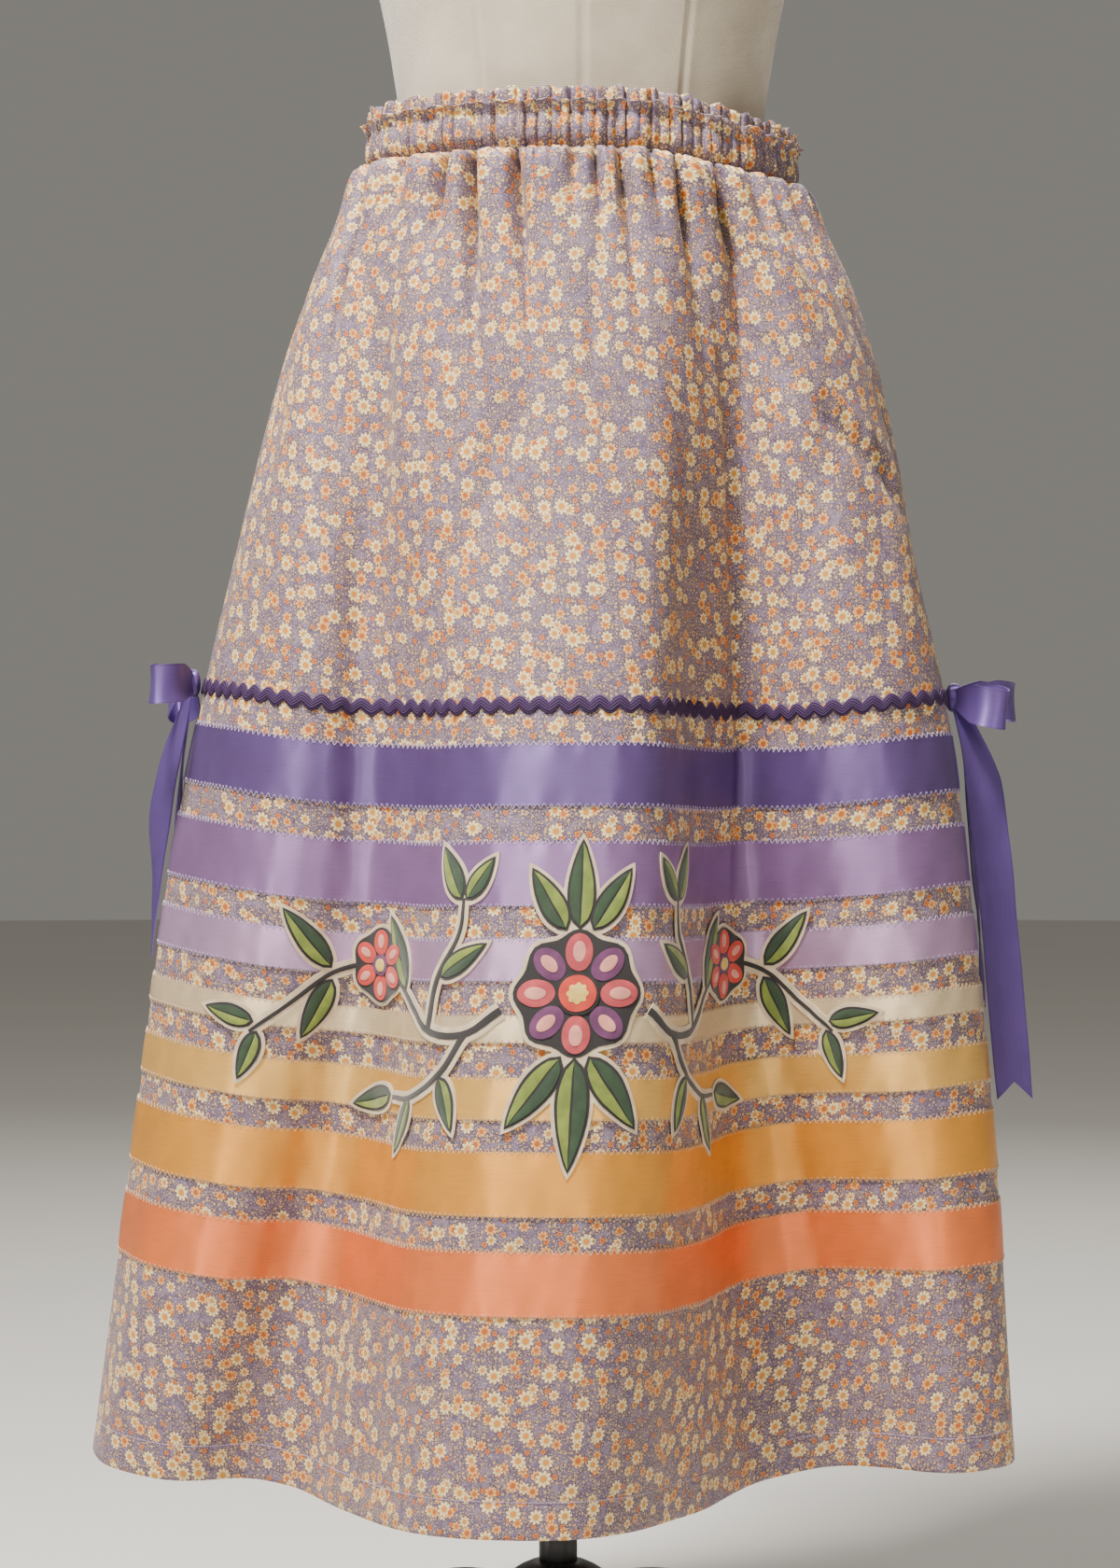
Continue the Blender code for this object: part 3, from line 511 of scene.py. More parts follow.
@dataclass
class Shape:
    """Points, faces and UVs that are gathered into one mesh."""

    points: list[np.ndarray] = field(default_factory=list)
    quads: list[np.ndarray] = field(default_factory=list)
    uvs: list[np.ndarray] = field(default_factory=list)
    count: int = 0

    def add(self, points: np.ndarray, faces: Sequence[np.ndarray], uv: np.ndarray) -> None:
        """Adds points with their faces, which count from nought, and a UV for each point."""
        self.points.append(points.reshape(-1, 3))
        self.uvs.append(uv.reshape(-1, 2))
        self.quads.extend(face + self.count for face in faces)
        self.count += self.points[-1].shape[0]

    def wall(self, outer: np.ndarray, inner: np.ndarray, uv: np.ndarray) -> None:
        """Adds a closed wall between two grids of points of the same shape.

        Args:
            outer: the face that shows, rows by columns by three.
            inner: the face behind it.
            uv: a UV for each point of the grid, in metres.
        """
        rows, columns = outer.shape[:2]
        size = rows * columns
        rim = grid_rim(rows, columns)
        after = np.roll(rim, -1)
        sides = np.stack([after, rim, rim + size, after + size], axis=1)
        quads = grid_quads(rows, columns)
        self.add(np.concatenate([outer.reshape(-1, 3), inner.reshape(-1, 3)]),
                 [quads, quads[:, ::-1] + size, sides],
                 np.concatenate([uv.reshape(-1, 2)] * 2))

    def loft(self, sections: np.ndarray, uv: np.ndarray) -> None:
        """Adds a closed solid through rings of points, with a fan over each end.

        Args:
            sections: rings by points by three, each ring closed on itself.
            uv: a UV for each point.
        """
        rings, points = sections.shape[:2]
        size = rings * points
        at = np.arange(points)
        after = (at + 1) % points
        start = (np.arange(rings - 1) * points)[:, None]
        sides = np.stack([start + at, start + at + points, start + after + points, start + after],
                         axis=-1).reshape(-1, 4)
        last = (rings - 1) * points
        first_fan = np.stack([np.full(points, size), at, after], axis=1)
        last_fan = np.stack([np.full(points, size + 1), last + after, last + at], axis=1)
        ends = np.stack([sections[0].mean(axis=0), sections[-1].mean(axis=0)])
        self.add(np.concatenate([sections.reshape(-1, 3), ends]), [sides, first_fan, last_fan],
                 np.concatenate([uv.reshape(-1, 2), uv[0].mean(axis=0)[None],
                                 uv[-1].mean(axis=0)[None]]))

    def volume(self) -> float:
        """The signed volume, which is negative when the faces point inwards."""
        points = np.concatenate(self.points)
        total = 0.0
        for faces in self.quads:
            for k in range(1, faces.shape[1] - 1):
                a, b, c = (points[faces[:, j]] for j in (0, k, k + 1))
                total += float((a * np.cross(b, c)).sum()) / 6
        return total

    def piece(self, name: str, finish: bpy.types.Material,
              smooth_angle: float = 50.0) -> bpy.types.Object:
        """Makes the mesh and its object.

        Args:
            name: the piece's name.
            finish: its material.
            smooth_angle: edges sharper than this, in degrees, stay sharp.

        Returns:
            The new object, at the origin.
        """
        flip = self.volume() < 0
        faces = [row for part in self.quads for row in (part[:, ::-1] if flip else part).tolist()]
        mesh = bpy.data.meshes.new(name)
        mesh.from_pydata((np.concatenate(self.points) * MM).tolist(), [], faces)
        corner = np.zeros(len(mesh.loops), np.int32)
        mesh.loops.foreach_get("vertex_index", corner)
        layer = mesh.uv_layers.new(name="cloth")
        layer.data.foreach_set("uv", np.concatenate(self.uvs)[corner].astype(np.float32).ravel())
        mesh.shade_smooth()
        mesh.set_sharp_from_angle(angle=math.radians(smooth_angle))
        mesh.materials.append(finish)
        made = bpy.data.objects.new(name, mesh)
        bpy.context.scene.collection.objects.link(made)
        return made


def turned(profile: Sequence[tuple[float, float]], centre: tuple[float, float], sides: int,
           stretch: float = 1.0) -> Shape:
    """A turned solid: a profile of (radius, height) carried round an upright axis.

    Args:
        profile: radius and height of each ring, from one end to the other.
        centre: where the axis stands.
        sides: points round it.
        stretch: the second radius as a share of the first.

    Returns:
        The solid, closed with a fan at each end.
    """
    turn = np.arange(sides) * math.tau / sides
    rings = np.array([[(centre[0] + r * math.cos(t), centre[1] + stretch * r * math.sin(t), z)
                       for t in turn] for r, z in profile])
    shape = Shape()
    shape.loft(rings, rings[..., :2] * MM)
    return shape


def tube(path: np.ndarray, radius: float, sides: int) -> Shape:
    """A round tube along a path that lies in one upright plane."""
    along = unit(np.gradient(path, axis=0))
    side = unit(np.cross(along, (0.0, 0.0, 1.0)))
    top = np.cross(side, along)
    turn = (np.arange(sides) * math.tau / sides)[None, :, None]
    rings = path[:, None] + radius * (np.cos(turn) * side[:, None] + np.sin(turn) * top[:, None])
    shape = Shape()
    shape.loft(rings, rings[..., :2] * MM)
    return shape


# ------------------------------------------------------------------ finishes


def linear(colour: Colour) -> tuple[float, float, float, float]:
    """A screen colour of 0 to 255 as the renderer's linear colour."""
    parts = [c / 255 for c in colour]
    return (*(c / 12.92 if c <= 0.04045 else ((c + 0.055) / 1.055) ** 2.4 for c in parts), 1.0)


Value = bpy.types.NodeSocket | float


class Graph:
    """A material's node tree, with a short method for each kind of step in it."""

    def __init__(self, name: str, roughness: float, **settings: float) -> None:
        """Starts a material with a Principled shader.

        Args:
            name: the material's name.
            roughness: the shader's roughness.
            **settings: other constants of the shader, with _ for the spaces in their names.
        """
        self.material = bpy.data.materials.new(name)
        self.material.use_nodes = True
        self.tree = self.material.node_tree
        self.shader = self.tree.nodes["Principled BSDF"]
        self.shader.inputs["Roughness"].default_value = roughness
        for key, value in settings.items():
            self.shader.inputs[key.replace("_", " ")].default_value = value

    def node(self, kind: str, inputs: dict[str | int, Value | Sequence[float]] | None = None,
             **settings: object) -> bpy.types.Node:
        """Adds a node, sets its settings and fills or links its inputs."""
        made = self.tree.nodes.new(kind)
        for key, value in settings.items():
            setattr(made, key, value)
        for key, value in (inputs or {}).items():
            self.feed(made.inputs[key], value)
        return made

    def feed(self, socket: bpy.types.NodeSocket, value: Value | Sequence[float]) -> None:
        """Links a socket to another one, or sets its constant."""
        if isinstance(value, bpy.types.NodeSocket):
            self.tree.links.new(value, socket)
        else:
            socket.default_value = value

    def math(self, operation: str, a: Value, b: Value = 0.0,
             c: Value = 0.0) -> bpy.types.NodeSocket:
        """One step of arithmetic on up to three values."""
        return self.node("ShaderNodeMath", {0: a, 1: b, 2: c}, operation=operation).outputs[0]

    def step(self, value: Value, low: float, high: float) -> bpy.types.NodeSocket:
        """0 below low and 1 above high, rising smoothly between them."""
        return self.node("ShaderNodeMapRange", {0: value, 1: low, 2: high},
                         interpolation_type="SMOOTHSTEP").outputs[0]

    def mix(self, share: Value, a: Value | Sequence[float],
            b: Value | Sequence[float]) -> bpy.types.NodeSocket:
        """A colour between two others."""
        made = self.node("ShaderNodeMix", data_type="RGBA")
        self.feed(made.inputs[0], share)
        self.feed(made.inputs[6], a)
        self.feed(made.inputs[7], b)
        return made.outputs[2]

    def cloth(self, scale: float = 1000.0, shift: tuple[float, float] = (0.0, 0.0),
              stretch: tuple[float, float] = (1.0, 1.0)) -> bpy.types.NodeSocket:
        """The piece's own UV in units of 1 / scale metres, shifted and stretched."""
        uv = self.node("ShaderNodeUVMap", uv_map="cloth")
        return self.node("ShaderNodeMapping", {
            0: uv.outputs[0], 1: (*shift, 0.0),
            3: (scale * stretch[0], scale * stretch[1], 1.0)}).outputs[0]

    def place(self, scale: float = 1000.0) -> bpy.types.NodeSocket:
        """The point's place in the object, in units of 1 / scale metres."""
        at = self.node("ShaderNodeTexCoord")
        return self.node("ShaderNodeMapping", {0: at.outputs["Object"],
                                               3: (scale, scale, scale)}).outputs[0]

    def noise(self, at: Value, scale: float, detail: float = 2.0,
              distortion: float = 0.0) -> bpy.types.NodeSocket:
        """Soft noise from 0 to 1."""
        return self.node("ShaderNodeTexNoise", {"Vector": at, "Scale": scale, "Detail": detail,
                                                "Distortion": distortion}).outputs[0]

    def weave(self, at: Value, period: float) -> bpy.types.NodeSocket:
        """A plain weave: two crossed sets of ridges. At scale 1 a wave's period is 0.3142."""
        settings = {"Vector": at, "Scale": 0.3142 / period, "Distortion": 0.4}
        waves = [self.node("ShaderNodeTexWave", settings, bands_direction=axis).outputs[1]
                 for axis in ("X", "Y")]
        return self.math("MULTIPLY", waves[0], waves[1])

    def finish(self, colour: Value | Sequence[float], height: Value | None = None,
               depth: float = 0.1) -> bpy.types.Material:
        """Feeds the shader its colour and a bump whose depth is in millimetres."""
        self.feed(self.shader.inputs["Base Color"], colour)
        if height is not None:
            bump = self.node("ShaderNodeBump", {"Height": height, "Distance": depth * MM,
                                                "Strength": 1.0})
            self.feed(self.shader.inputs["Normal"], bump.outputs["Normal"])
        return self.material


@dataclass(frozen=True)
class Bloom:
    """One kind of printed flower, scattered over the ground, at most one to a cell."""

    spacing: float
    radius: float
    petals: int
    shift: tuple[float, float]
    left_out: float
    petal: Colour
    shade: Colour
    heart: Colour
    heart_share: float = 0.27
    scalloped: float = 0.20
    scatter: float = 0.75
    clustered: float = 0.0


@dataclass(frozen=True)
class PrintedCotton:
    """Light cotton printed all over with small meadow flowers."""

    name: str = "printed_cotton"
    ground: Colour = (122, 106, 128)
    ground_dark: Colour = (96, 80, 102)
    line: Colour = (48, 32, 38)
    sprig: Colour = (206, 178, 152)
    outline: float = 0.50
    weave_period: float = 0.45
    bump: float = 0.05
    blooms: tuple[Bloom, ...] = (
        Bloom(2.1, 0.70, 3, (3.0, 1.0), 0.22, (204, 174, 146), (176, 146, 124), (176, 140, 110),
              clustered=0.46),
        Bloom(3.5, 1.15, 4, (11.0, 7.0), 0.34, (216, 182, 140), (186, 150, 112), (200, 118, 50),
              clustered=0.42),
        Bloom(8.4, 2.1, 5, (1.7, 15.0), 0.58, (212, 122, 52), (186, 96, 40), (160, 74, 20)),
        Bloom(14.0, 3.6, 7, (5.0, 9.0), 0.46, (228, 170, 98), (202, 132, 66), (186, 92, 6),
              0.42),
        Bloom(15.0, 3.9, 8, (17.0, 4.0), 0.38, (230, 202, 146), (200, 168, 112), (206, 122, 6),
              0.36, 0.16),
        Bloom(12.4, 4.3, 8, (31.0, 8.0), 0.76, (228, 170, 100), (204, 138, 74), (178, 84, 6),
              0.43, 0.16),
        Bloom(15.8, 5.2, 9, (8.0, 21.0), 0.42, (234, 208, 152), (204, 172, 116), (208, 126, 4),
              0.37, 0.15),
    )

    def flower(self, g: Graph, kind: Bloom, ground: Value) -> bpy.types.NodeSocket:
        """Prints one kind of flower over what is there.

        Each cell of a Voronoi pattern holds at most one flower. A flower's edge is its radius,
        swelling with the cosine of its petals times the angle; its heart has that outline too.

        Args:
            g: the material's graph.
            kind: the flower.
            ground: the colour so far.

        Returns:
            The colour with these flowers on it.
        """
        at = g.cloth(1000.0 / kind.spacing, kind.shift)
        cell = g.node("ShaderNodeTexVoronoi", {"Vector": at, "Scale": 1.0,
                                               "Randomness": kind.scatter}, voronoi_dimensions="2D")
        away = g.node("ShaderNodeVectorMath", {0: at, 1: cell.outputs["Position"]},
                      operation="SUBTRACT")
        parts = g.node("ShaderNodeSeparateXYZ", {0: away.outputs[0]})
        chance = g.node("ShaderNodeSeparateColor", {0: cell.outputs["Color"]})
        angle = g.math("ARCTAN2", parts.outputs[1], parts.outputs[0])
        turned_by = g.math("MULTIPLY", chance.outputs[2], math.tau)
        wave = g.math("COSINE", g.math("MULTIPLY_ADD", angle, float(kind.petals), turned_by))
        size = g.math("MULTIPLY_ADD", chance.outputs[1], 0.22, 0.80)
        reach = g.math("MULTIPLY", size,
                       g.math("MULTIPLY_ADD", wave, kind.scalloped, 1 - kind.scalloped))
        length = g.node("ShaderNodeVectorMath", {0: away.outputs[0]}, operation="LENGTH").outputs[1]
        share = g.math("DIVIDE", g.math("MULTIPLY", length, kind.spacing / kind.radius), reach)
        there = g.math("GREATER_THAN", chance.outputs[0], kind.left_out)
        if kind.clustered:
            patch = g.noise(cell.outputs["Position"], 0.075 * kind.spacing, 1.0)
            there = g.math("MULTIPLY", there, g.math("GREATER_THAN", patch, kind.clustered))
        soft = min(0.12, 0.16 / kind.radius)
        edge = self.outline / kind.radius
        inside = g.math("MULTIPLY", there, g.math("SUBTRACT", 1.0, g.step(share, 1 - soft, 1.0)))
        ring = g.math("MULTIPLY", there, g.math("SUBTRACT", 1.0,
                                                g.step(share, 1 + edge * 0.5, 1 + edge * 1.2)))
        petal = g.mix(g.step(wave, -0.95, 0.1), linear(kind.shade), linear(kind.petal))
        petal = g.mix(g.step(share, 0.30, 0.75), linear(kind.shade), petal)
        rim = g.math("SUBTRACT", 1.0,
                     g.step(share, kind.heart_share + 0.02, kind.heart_share + 0.14))
        petal = g.mix(g.math("MULTIPLY", rim, 0.55), petal, linear(self.line))
        heart = g.math("SUBTRACT", 1.0, g.step(share, kind.heart_share - 0.06, kind.heart_share))
        petal = g.mix(heart, petal, linear(kind.heart))
        shown = g.mix(g.math("MULTIPLY", ring, 0.85), ground, linear(self.line))
        return g.mix(inside, shown, petal)

    def material(self) -> bpy.types.Material:
        """Builds the printed cloth."""
        g = Graph(self.name, 0.52, Sheen_Weight=0.08, Sheen_Roughness=0.45)
        g.shader.inputs["Specular IOR Level"].default_value = 0.42
        fine = g.cloth()
        colour = g.mix(g.step(g.noise(fine, 0.16, 3.0), 0.40, 0.66), linear(self.ground_dark),
                       linear(self.ground))
        stems = g.math("ABSOLUTE", g.math("SUBTRACT", g.noise(fine, 0.34, 1.0, 0.6), 0.5))
        colour = g.mix(g.math("MULTIPLY", g.math("SUBTRACT", 1.0, g.step(stems, 0.006, 0.020)),
                              0.60), colour, linear(self.line))
        specks = g.noise(fine, 0.95, 1.0)
        colour = g.mix(g.math("MULTIPLY", g.step(specks, 0.60, 0.66), 0.75), colour,
                       linear(self.sprig))
        for kind in self.blooms:
            colour = self.flower(g, kind, colour)
        height = g.math("ADD", g.weave(fine, self.weave_period),
                        g.math("MULTIPLY", g.noise(fine, 0.10, 3.0), 6.0))
        return g.finish(colour, height, self.bump)


@dataclass(frozen=True)
class Satin:
    """Woven satin ribbon: smooth along its length, with a fine selvedge along each edge."""

    name: str
    colour: Colour
    width: float
    roughness: float = 0.44
    anisotropy: float = 0.80
    lustre: float = 0.50
    selvedge: float = 1.1
    bump: float = 0.06

    def material(self) -> bpy.types.Material:
        """Builds the satin."""
        g = Graph(self.name, self.roughness, Anisotropic=self.anisotropy,
                  Anisotropic_Rotation=0.25, Metallic=self.lustre)
        g.shader.inputs["Specular IOR Level"].default_value = 0.60
        g.feed(g.shader.inputs["Tangent"],
               g.node("ShaderNodeTangent", direction_type="UV_MAP", uv_map="cloth").outputs[0])
        threads = g.noise(g.cloth(1000.0, (0.0, 0.0), (0.05, 1.6)), 1.0, 3.0)
        slow = g.noise(g.cloth(), 0.035, 2.0)
        across = g.node("ShaderNodeSeparateXYZ", {0: g.cloth()}).outputs[1]
        middle = g.math("ABSOLUTE", g.math("SUBTRACT", across, self.width / 2))
        selvedge = g.step(middle, self.width / 2 - self.selvedge, self.width / 2 - 0.8)
        dark = tuple(int(c * 0.86) for c in self.colour)
        light = tuple(min(255, int(c * 1.05)) for c in self.colour)
        colour = g.mix(g.step(slow, 0.35, 0.65), linear(self.colour), linear(light))
        colour = g.mix(g.math("MULTIPLY", g.step(threads, 0.52, 0.75), 0.5), colour, linear(dark))
        colour = g.mix(g.math("MULTIPLY", selvedge, 0.6), colour, linear(dark))
        height = g.math("MULTIPLY_ADD", threads, 0.5, g.math("MULTIPLY", selvedge, 0.8))
        return g.finish(colour, height, self.bump)


@dataclass(frozen=True)
class Braid:
    """Woven rick-rack, with fine ribs that run along it; the ribs' crests carry a painted
    highlight.
    """

    name: str = "rick_rack_braid"
    colour: Colour = (34, 17, 46)
    # light: the painted highlight colour laid on the ribs' crests
    light: Colour = (80, 52, 98)
    rib: float = 1.5
    bump: float = 0.22

    def material(self) -> bpy.types.Material:
        """Builds the braid."""
        g = Graph(self.name, 0.7)
        g.shader.inputs["Specular IOR Level"].default_value = 0.25
        parts = g.node("ShaderNodeSeparateXYZ", {0: g.cloth()})
        twist = g.math("MULTIPLY", g.math("SINE", g.math("MULTIPLY", parts.outputs[0], 6.5)), 0.5)
        ribs = g.math("SINE", g.math("MULTIPLY_ADD", parts.outputs[1], math.tau / self.rib, twist))
        # painted highlight: the ribs' crests, where the bump stands highest, are coloured light
        colour = g.mix(g.step(ribs, -0.4, 0.9), linear(self.colour), linear(self.light))
        colour = g.mix(g.math("MULTIPLY", g.noise(g.cloth(), 0.2, 2.0), 0.4), colour,
                       linear(self.colour))
        return g.finish(colour, ribs, self.bump)


@dataclass(frozen=True)
class Thread:
    """Sewing thread, twisted and slightly shiny."""

    name: str
    colour: Colour

    def material(self) -> bpy.types.Material:
        """Builds the thread."""
        g = Graph(self.name, 0.45, Sheen_Weight=0.3)
        dark = tuple(int(c * 0.80) for c in self.colour)
        colour = g.mix(g.noise(g.place(), 1.4, 1.0), linear(dark), linear(self.colour))
        return g.finish(colour, g.noise(g.place(), 3.0, 1.0), 0.05)


@dataclass(frozen=True)
class PlainCotton:
    """Smooth dyed cotton for the cut-out shapes and their backing."""

    name: str
    colour: Colour
    second: Colour
    roughness: float = 0.72

    def material(self) -> bpy.types.Material:
        """Builds the dyed cotton."""
        g = Graph(self.name, self.roughness, Sheen_Weight=0.25)
        at = g.cloth()
        colour = g.mix(g.step(g.noise(at, 0.09, 3.0), 0.36, 0.68), linear(self.second),
                       linear(self.colour))
        weave = g.weave(at, 0.5)
        colour = g.mix(g.math("MULTIPLY", weave, 0.22), colour, linear(self.second))
        return g.finish(colour, weave, 0.09)


@dataclass(frozen=True)
class FormCover:
    """Close-knit cotton stretched over the form."""

    name: str = "form_cover"
    colour: Colour = (196, 184, 162)
    shade: Colour = (178, 165, 143)

    def material(self) -> bpy.types.Material:
        """Builds the knitted cover: fine columns of loops and a few soft marks."""
        g = Graph(self.name, 0.85, Sheen_Weight=0.4, Sheen_Roughness=0.5)
        at = g.cloth()
        loops = g.weave(at, 0.9)
        worn = g.noise(at, 0.02, 4.0)
        colour = g.mix(g.step(worn, 0.35, 0.7), linear(self.shade), linear(self.colour))
        colour = g.mix(g.math("MULTIPLY", loops, 0.25), colour, linear(self.shade))
        return g.finish(colour, loops, 0.18)


@dataclass(frozen=True)
class PaintedSteel:
    """Black satin paint over steel, with faint dust and rubbed spots."""

    name: str = "black_steel"
    colour: Colour = (24, 24, 26)
    dust: Colour = (62, 60, 58)

    def material(self) -> bpy.types.Material:
        """Builds the paint."""
        g = Graph(self.name, 0.38, Coat_Weight=0.25, Coat_Roughness=0.2)
        at = g.place()
        dust = g.step(g.noise(at, 0.03, 5.0), 0.52, 0.80)
        colour = g.mix(g.math("MULTIPLY", dust, 0.55), linear(self.colour), linear(self.dust))
        rough = g.math("MULTIPLY_ADD", g.noise(at, 0.08, 4.0), 0.25, 0.28)
        g.feed(g.shader.inputs["Roughness"], rough)
        return g.finish(colour, g.noise(at, 0.9, 3.0), 0.03)


@dataclass(frozen=True)
class StudioFloor:
    """Matt pale floor."""

    name: str = "studio_floor"
    colour: Colour = (220, 217, 210)

    def material(self) -> bpy.types.Material:
        """Builds the floor's finish."""
        g = Graph(self.name, 0.75)
        shade = tuple(int(c * 0.97) for c in self.colour)
        colour = g.mix(g.noise(g.place(1.0), 1.5, 3.0), linear(shade), linear(self.colour))
        return g.finish(colour)


# ------------------------------------------------------------------ pieces of the skirt


def settle(piece: bpy.types.Object, slot: str, *nodes: str) -> bpy.types.Object:
    """Ties a finished piece to the frame.

    Args:
        piece: the piece, at the origin.
        slot: a material slot's name; not used.
        *nodes: the frame's nodes that it stands for.

    Returns:
        The same piece.
    """
    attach(piece, BODY)
    if nodes:
        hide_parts(*nodes)
    log.info("%s: %d faces", piece.name, len(piece.data.polygons))
    return piece


def arc_uv(points: np.ndarray) -> np.ndarray:
    """UVs in metres: length along each row from its middle, and the mean length down to it.

    The rows' whole lengths are eased to a quadratic of the length down, so that the print
    doesn't slip sideways where one row has deeper gathers than the next.
    """
    steps = np.linalg.norm(np.diff(points, axis=1), axis=2)
    along = np.concatenate([np.zeros((len(points), 1)), np.cumsum(steps, axis=1)], axis=1)
    down = running(np.linalg.norm(np.diff(points, axis=0), axis=2).mean(axis=1))
    whole = np.polyval(np.polyfit(down, along[:, -1], 2), down)
    along = (along / along[:, -1:] - 0.5) * whole[:, None]
    return np.dstack([along, np.broadcast_to(-down[:, None], along.shape)]) * MM


@dataclass
class Panel:
    """The front or the back: a wall of printed cotton from the casing to the turned hem.

    cut_top is the width chosen for the flat cloth's top, in metres; it is not used.
    """

    half: Half
    surface: SkirtSurface
    wall: float = 1.1
    hem_wall: float = 2.2
    hem_depth: float = 22.0
    columns: int = 401
    upper_rows: int = 36
    fine_drop: float = 120.0
    widest_gap: float = 11.0
    seam_dip: float = 0.9
    seam_reach: float = 1.6
    hem_round: float = 0.8
    stitch_dip: float = 0.35
    stitch_reach: float = 1.4
    beside_edge: float = 4.0
    cut_top: float = 0.60

    def rows(self) -> np.ndarray:
        """Drops of the rows: close under the casing, along each ribbon's edges and at the hem."""
        fine = self.fine_drop * np.linspace(0.0, 1.0, self.upper_rows) ** 1.35
        end = self.surface.length
        marks = [self.fine_drop, end - 24, end - 22, end - 20, end - 3, end - 1.3, end - 0.6, end]
        for ribbon in RIBBONS:
            for edge in (ribbon.drop, ribbon.drop + ribbon.width):
                marks += [edge - self.beside_edge, edge, edge + self.beside_edge]
        marks = np.sort(marks)
        lower = [np.linspace(a, b, math.ceil((b - a) / self.widest_gap) + 1)[1:]
                 for a, b in zip(marks[:-1], marks[1:])]
        return np.concatenate([fine, *lower])

    def build(self, finish: bpy.types.Material) -> bpy.types.Object:
        """Computes the grid of the panel and gives it its wall.

        The outer face is the skirt's surface; it dips at both side seams as exp(-(length from
        the seam)^2), and at the hem's stitches, and rounds inwards at the hem. The inner face
        lies a wall's thickness behind it, and two thicknesses where the hem is turned up.
        """
        drops = self.rows()
        places = self.half.value + np.linspace(0, 1, self.columns)
        around, drop = np.meshgrid(places, drops)
        outer, facing = self.surface.point(around, drop), self.surface.facing(around, drop)
        uv = arc_uv(outer)
        edge = np.abs(np.abs(uv[..., 0]) - np.abs(uv[:, -1:, 0])) / MM
        dip = self.seam_dip * np.exp(-((edge / self.seam_reach) ** 2))
        to_hem = self.surface.length - drop
        dip = dip + self.hem_round * np.exp(-((to_hem / self.hem_round) ** 2))
        sewn = (to_hem - self.hem_depth) / self.stitch_reach
        dip = dip + self.stitch_dip * np.exp(-(sewn**2))
        outer = outer - dip[..., None] * facing
        turned_up = np.clip((self.hem_depth + 1.5 - to_hem) / 3, 0, 1)
        thick = self.wall + (self.hem_wall - self.wall) * turned_up - np.minimum(dip, 0.9)
        inner = outer - thick[..., None] * facing
        shape = Shape()
        shape.wall(outer, inner, uv)
        name = f"{self.half.label}_panel"
        piece = settle(shape.piece(name, finish), "printed_cotton", f"panel_{self.half.label}")
        hem = self.surface.arc(places, self.surface.length)
        return piece


@dataclass
class Casing:
    """The elastic casing and its standing ruffle, of two leaves."""

    half: Half
    surface: SkirtSurface
    height: float = 20.0
    header: float = 6.5
    leaf_rise: float = 8.0
    raise_by: float = 5.0
    inset: float = 3.0
    steps_per_gather: int = 11

    def profile(self) -> np.ndarray:
        """Rows of (up, flare, share of the gathers, share of the leaf's own wave).

        The rows run up the casing, over the front leaf, down behind it, up and over the rear
        leaf, and down the plain inside.
        """
        top, rear = self.height + self.header, self.height + self.header + self.leaf_rise
        return np.array([
            (-1.0, -3.4, 0.80, 0.0), (0.4, -3.0, 0.90, 0.0), (1.6, -2.4, 0.86, 0.0),
            (3.2, -1.2, 0.95, 0.0), (6.0, -0.4, 1.00, 0.0), (10.0, -0.1, 1.02, 0.0),
            (14.0, -0.3, 1.00, 0.0), (17.0, -0.5, 0.97, 0.0), (18.8, -0.9, 0.93, 0.0),
            (20.2, -0.8, 0.95, 0.1), (22.0, -0.2, 1.00, 0.4), (24.5, 0.5, 1.10, 0.8),
            (top - 0.4, 1.8, 1.15, 1.0), (top, 1.5, 1.15, 1.0), (top - 0.4, 1.1, 1.15, 1.0),
            (24.5, 0.8, 1.05, 0.8), (22.0, -0.1, 0.95, 0.4), (21.0, -0.6, 0.90, 0.1),
            (23.0, -0.6, 0.80, -0.3), (27.0, -0.5, 0.75, -0.8), (31.0, -0.4, 0.75, -1.1),
            (rear - 0.4, -0.3, 0.75, -1.3), (rear, -0.6, 0.75, -1.3),
            (rear - 0.5, -1.1, 0.70, -1.3),
            (29.0, -1.5, 0.50, -0.8), (22.0, -2.2, 0.20, -0.2), (19.0, -self.inset, 0.0, 0.0),
            (8.0, -self.inset, 0.0, 0.0), (-1.0, -self.inset, 0.0, 0.0),
        ])

    def build(self, finish: bpy.types.Material) -> bpy.types.Object:
        """Carries the profile round half the waist, raised by the elastic's pleats."""
        count = self.surface.casing_gathers * self.steps_per_gather + 1
        places = self.half.value + np.linspace(0.0004, 0.9996, count)
        base = self.surface.plain(places, np.zeros(count))
        out = self.surface.facing(places, np.zeros(count), fine=False)
        out[:, 2] = 0
        out = unit(out)
        ridge = self.surface.ridge(places)
        turn = places * self.surface.casing_gathers * math.pi
        leaf = np.sin(turn * 0.83 + 1.1) * 0.8 + np.sin(turn * 0.37) * 0.7
        tall = 0.7 * np.sin(turn * 0.61 + 0.4) + 0.5 * np.sin(turn * 1.27)
        side = unit(np.gradient(base, axis=0))
        rings = []
        for up, flare, share, wave in self.profile():
            lift = np.clip((up - self.height) / self.header, 0, 1.4)
            reach = flare + share * self.raise_by * ridge + wave * leaf
            sway = 0.5 * wave * np.sin(turn * 1.9)
            rings.append(base + reach[:, None] * out + sway[:, None] * side
                         + np.stack([0 * tall, 0 * tall, up + lift * tall], axis=1))
        sections = np.stack(rings, axis=1)
        rows = self.profile()[:, :2]
        climb = running(np.hypot(*np.diff(rows, axis=0).T))
        along = running(lengths(sections[:, 5]))
        uv = np.dstack(np.broadcast_arrays(along[:, None], climb[None])) * MM
        shape = Shape()
        shape.loft(sections, uv + (0.31 + 0.4 * self.half.value, 0.93))
        name = f"{self.half.label}_casing"
        piece = settle(shape.piece(name, finish, 60), "printed_cotton", f"casing_{self.half.label}")
        return piece


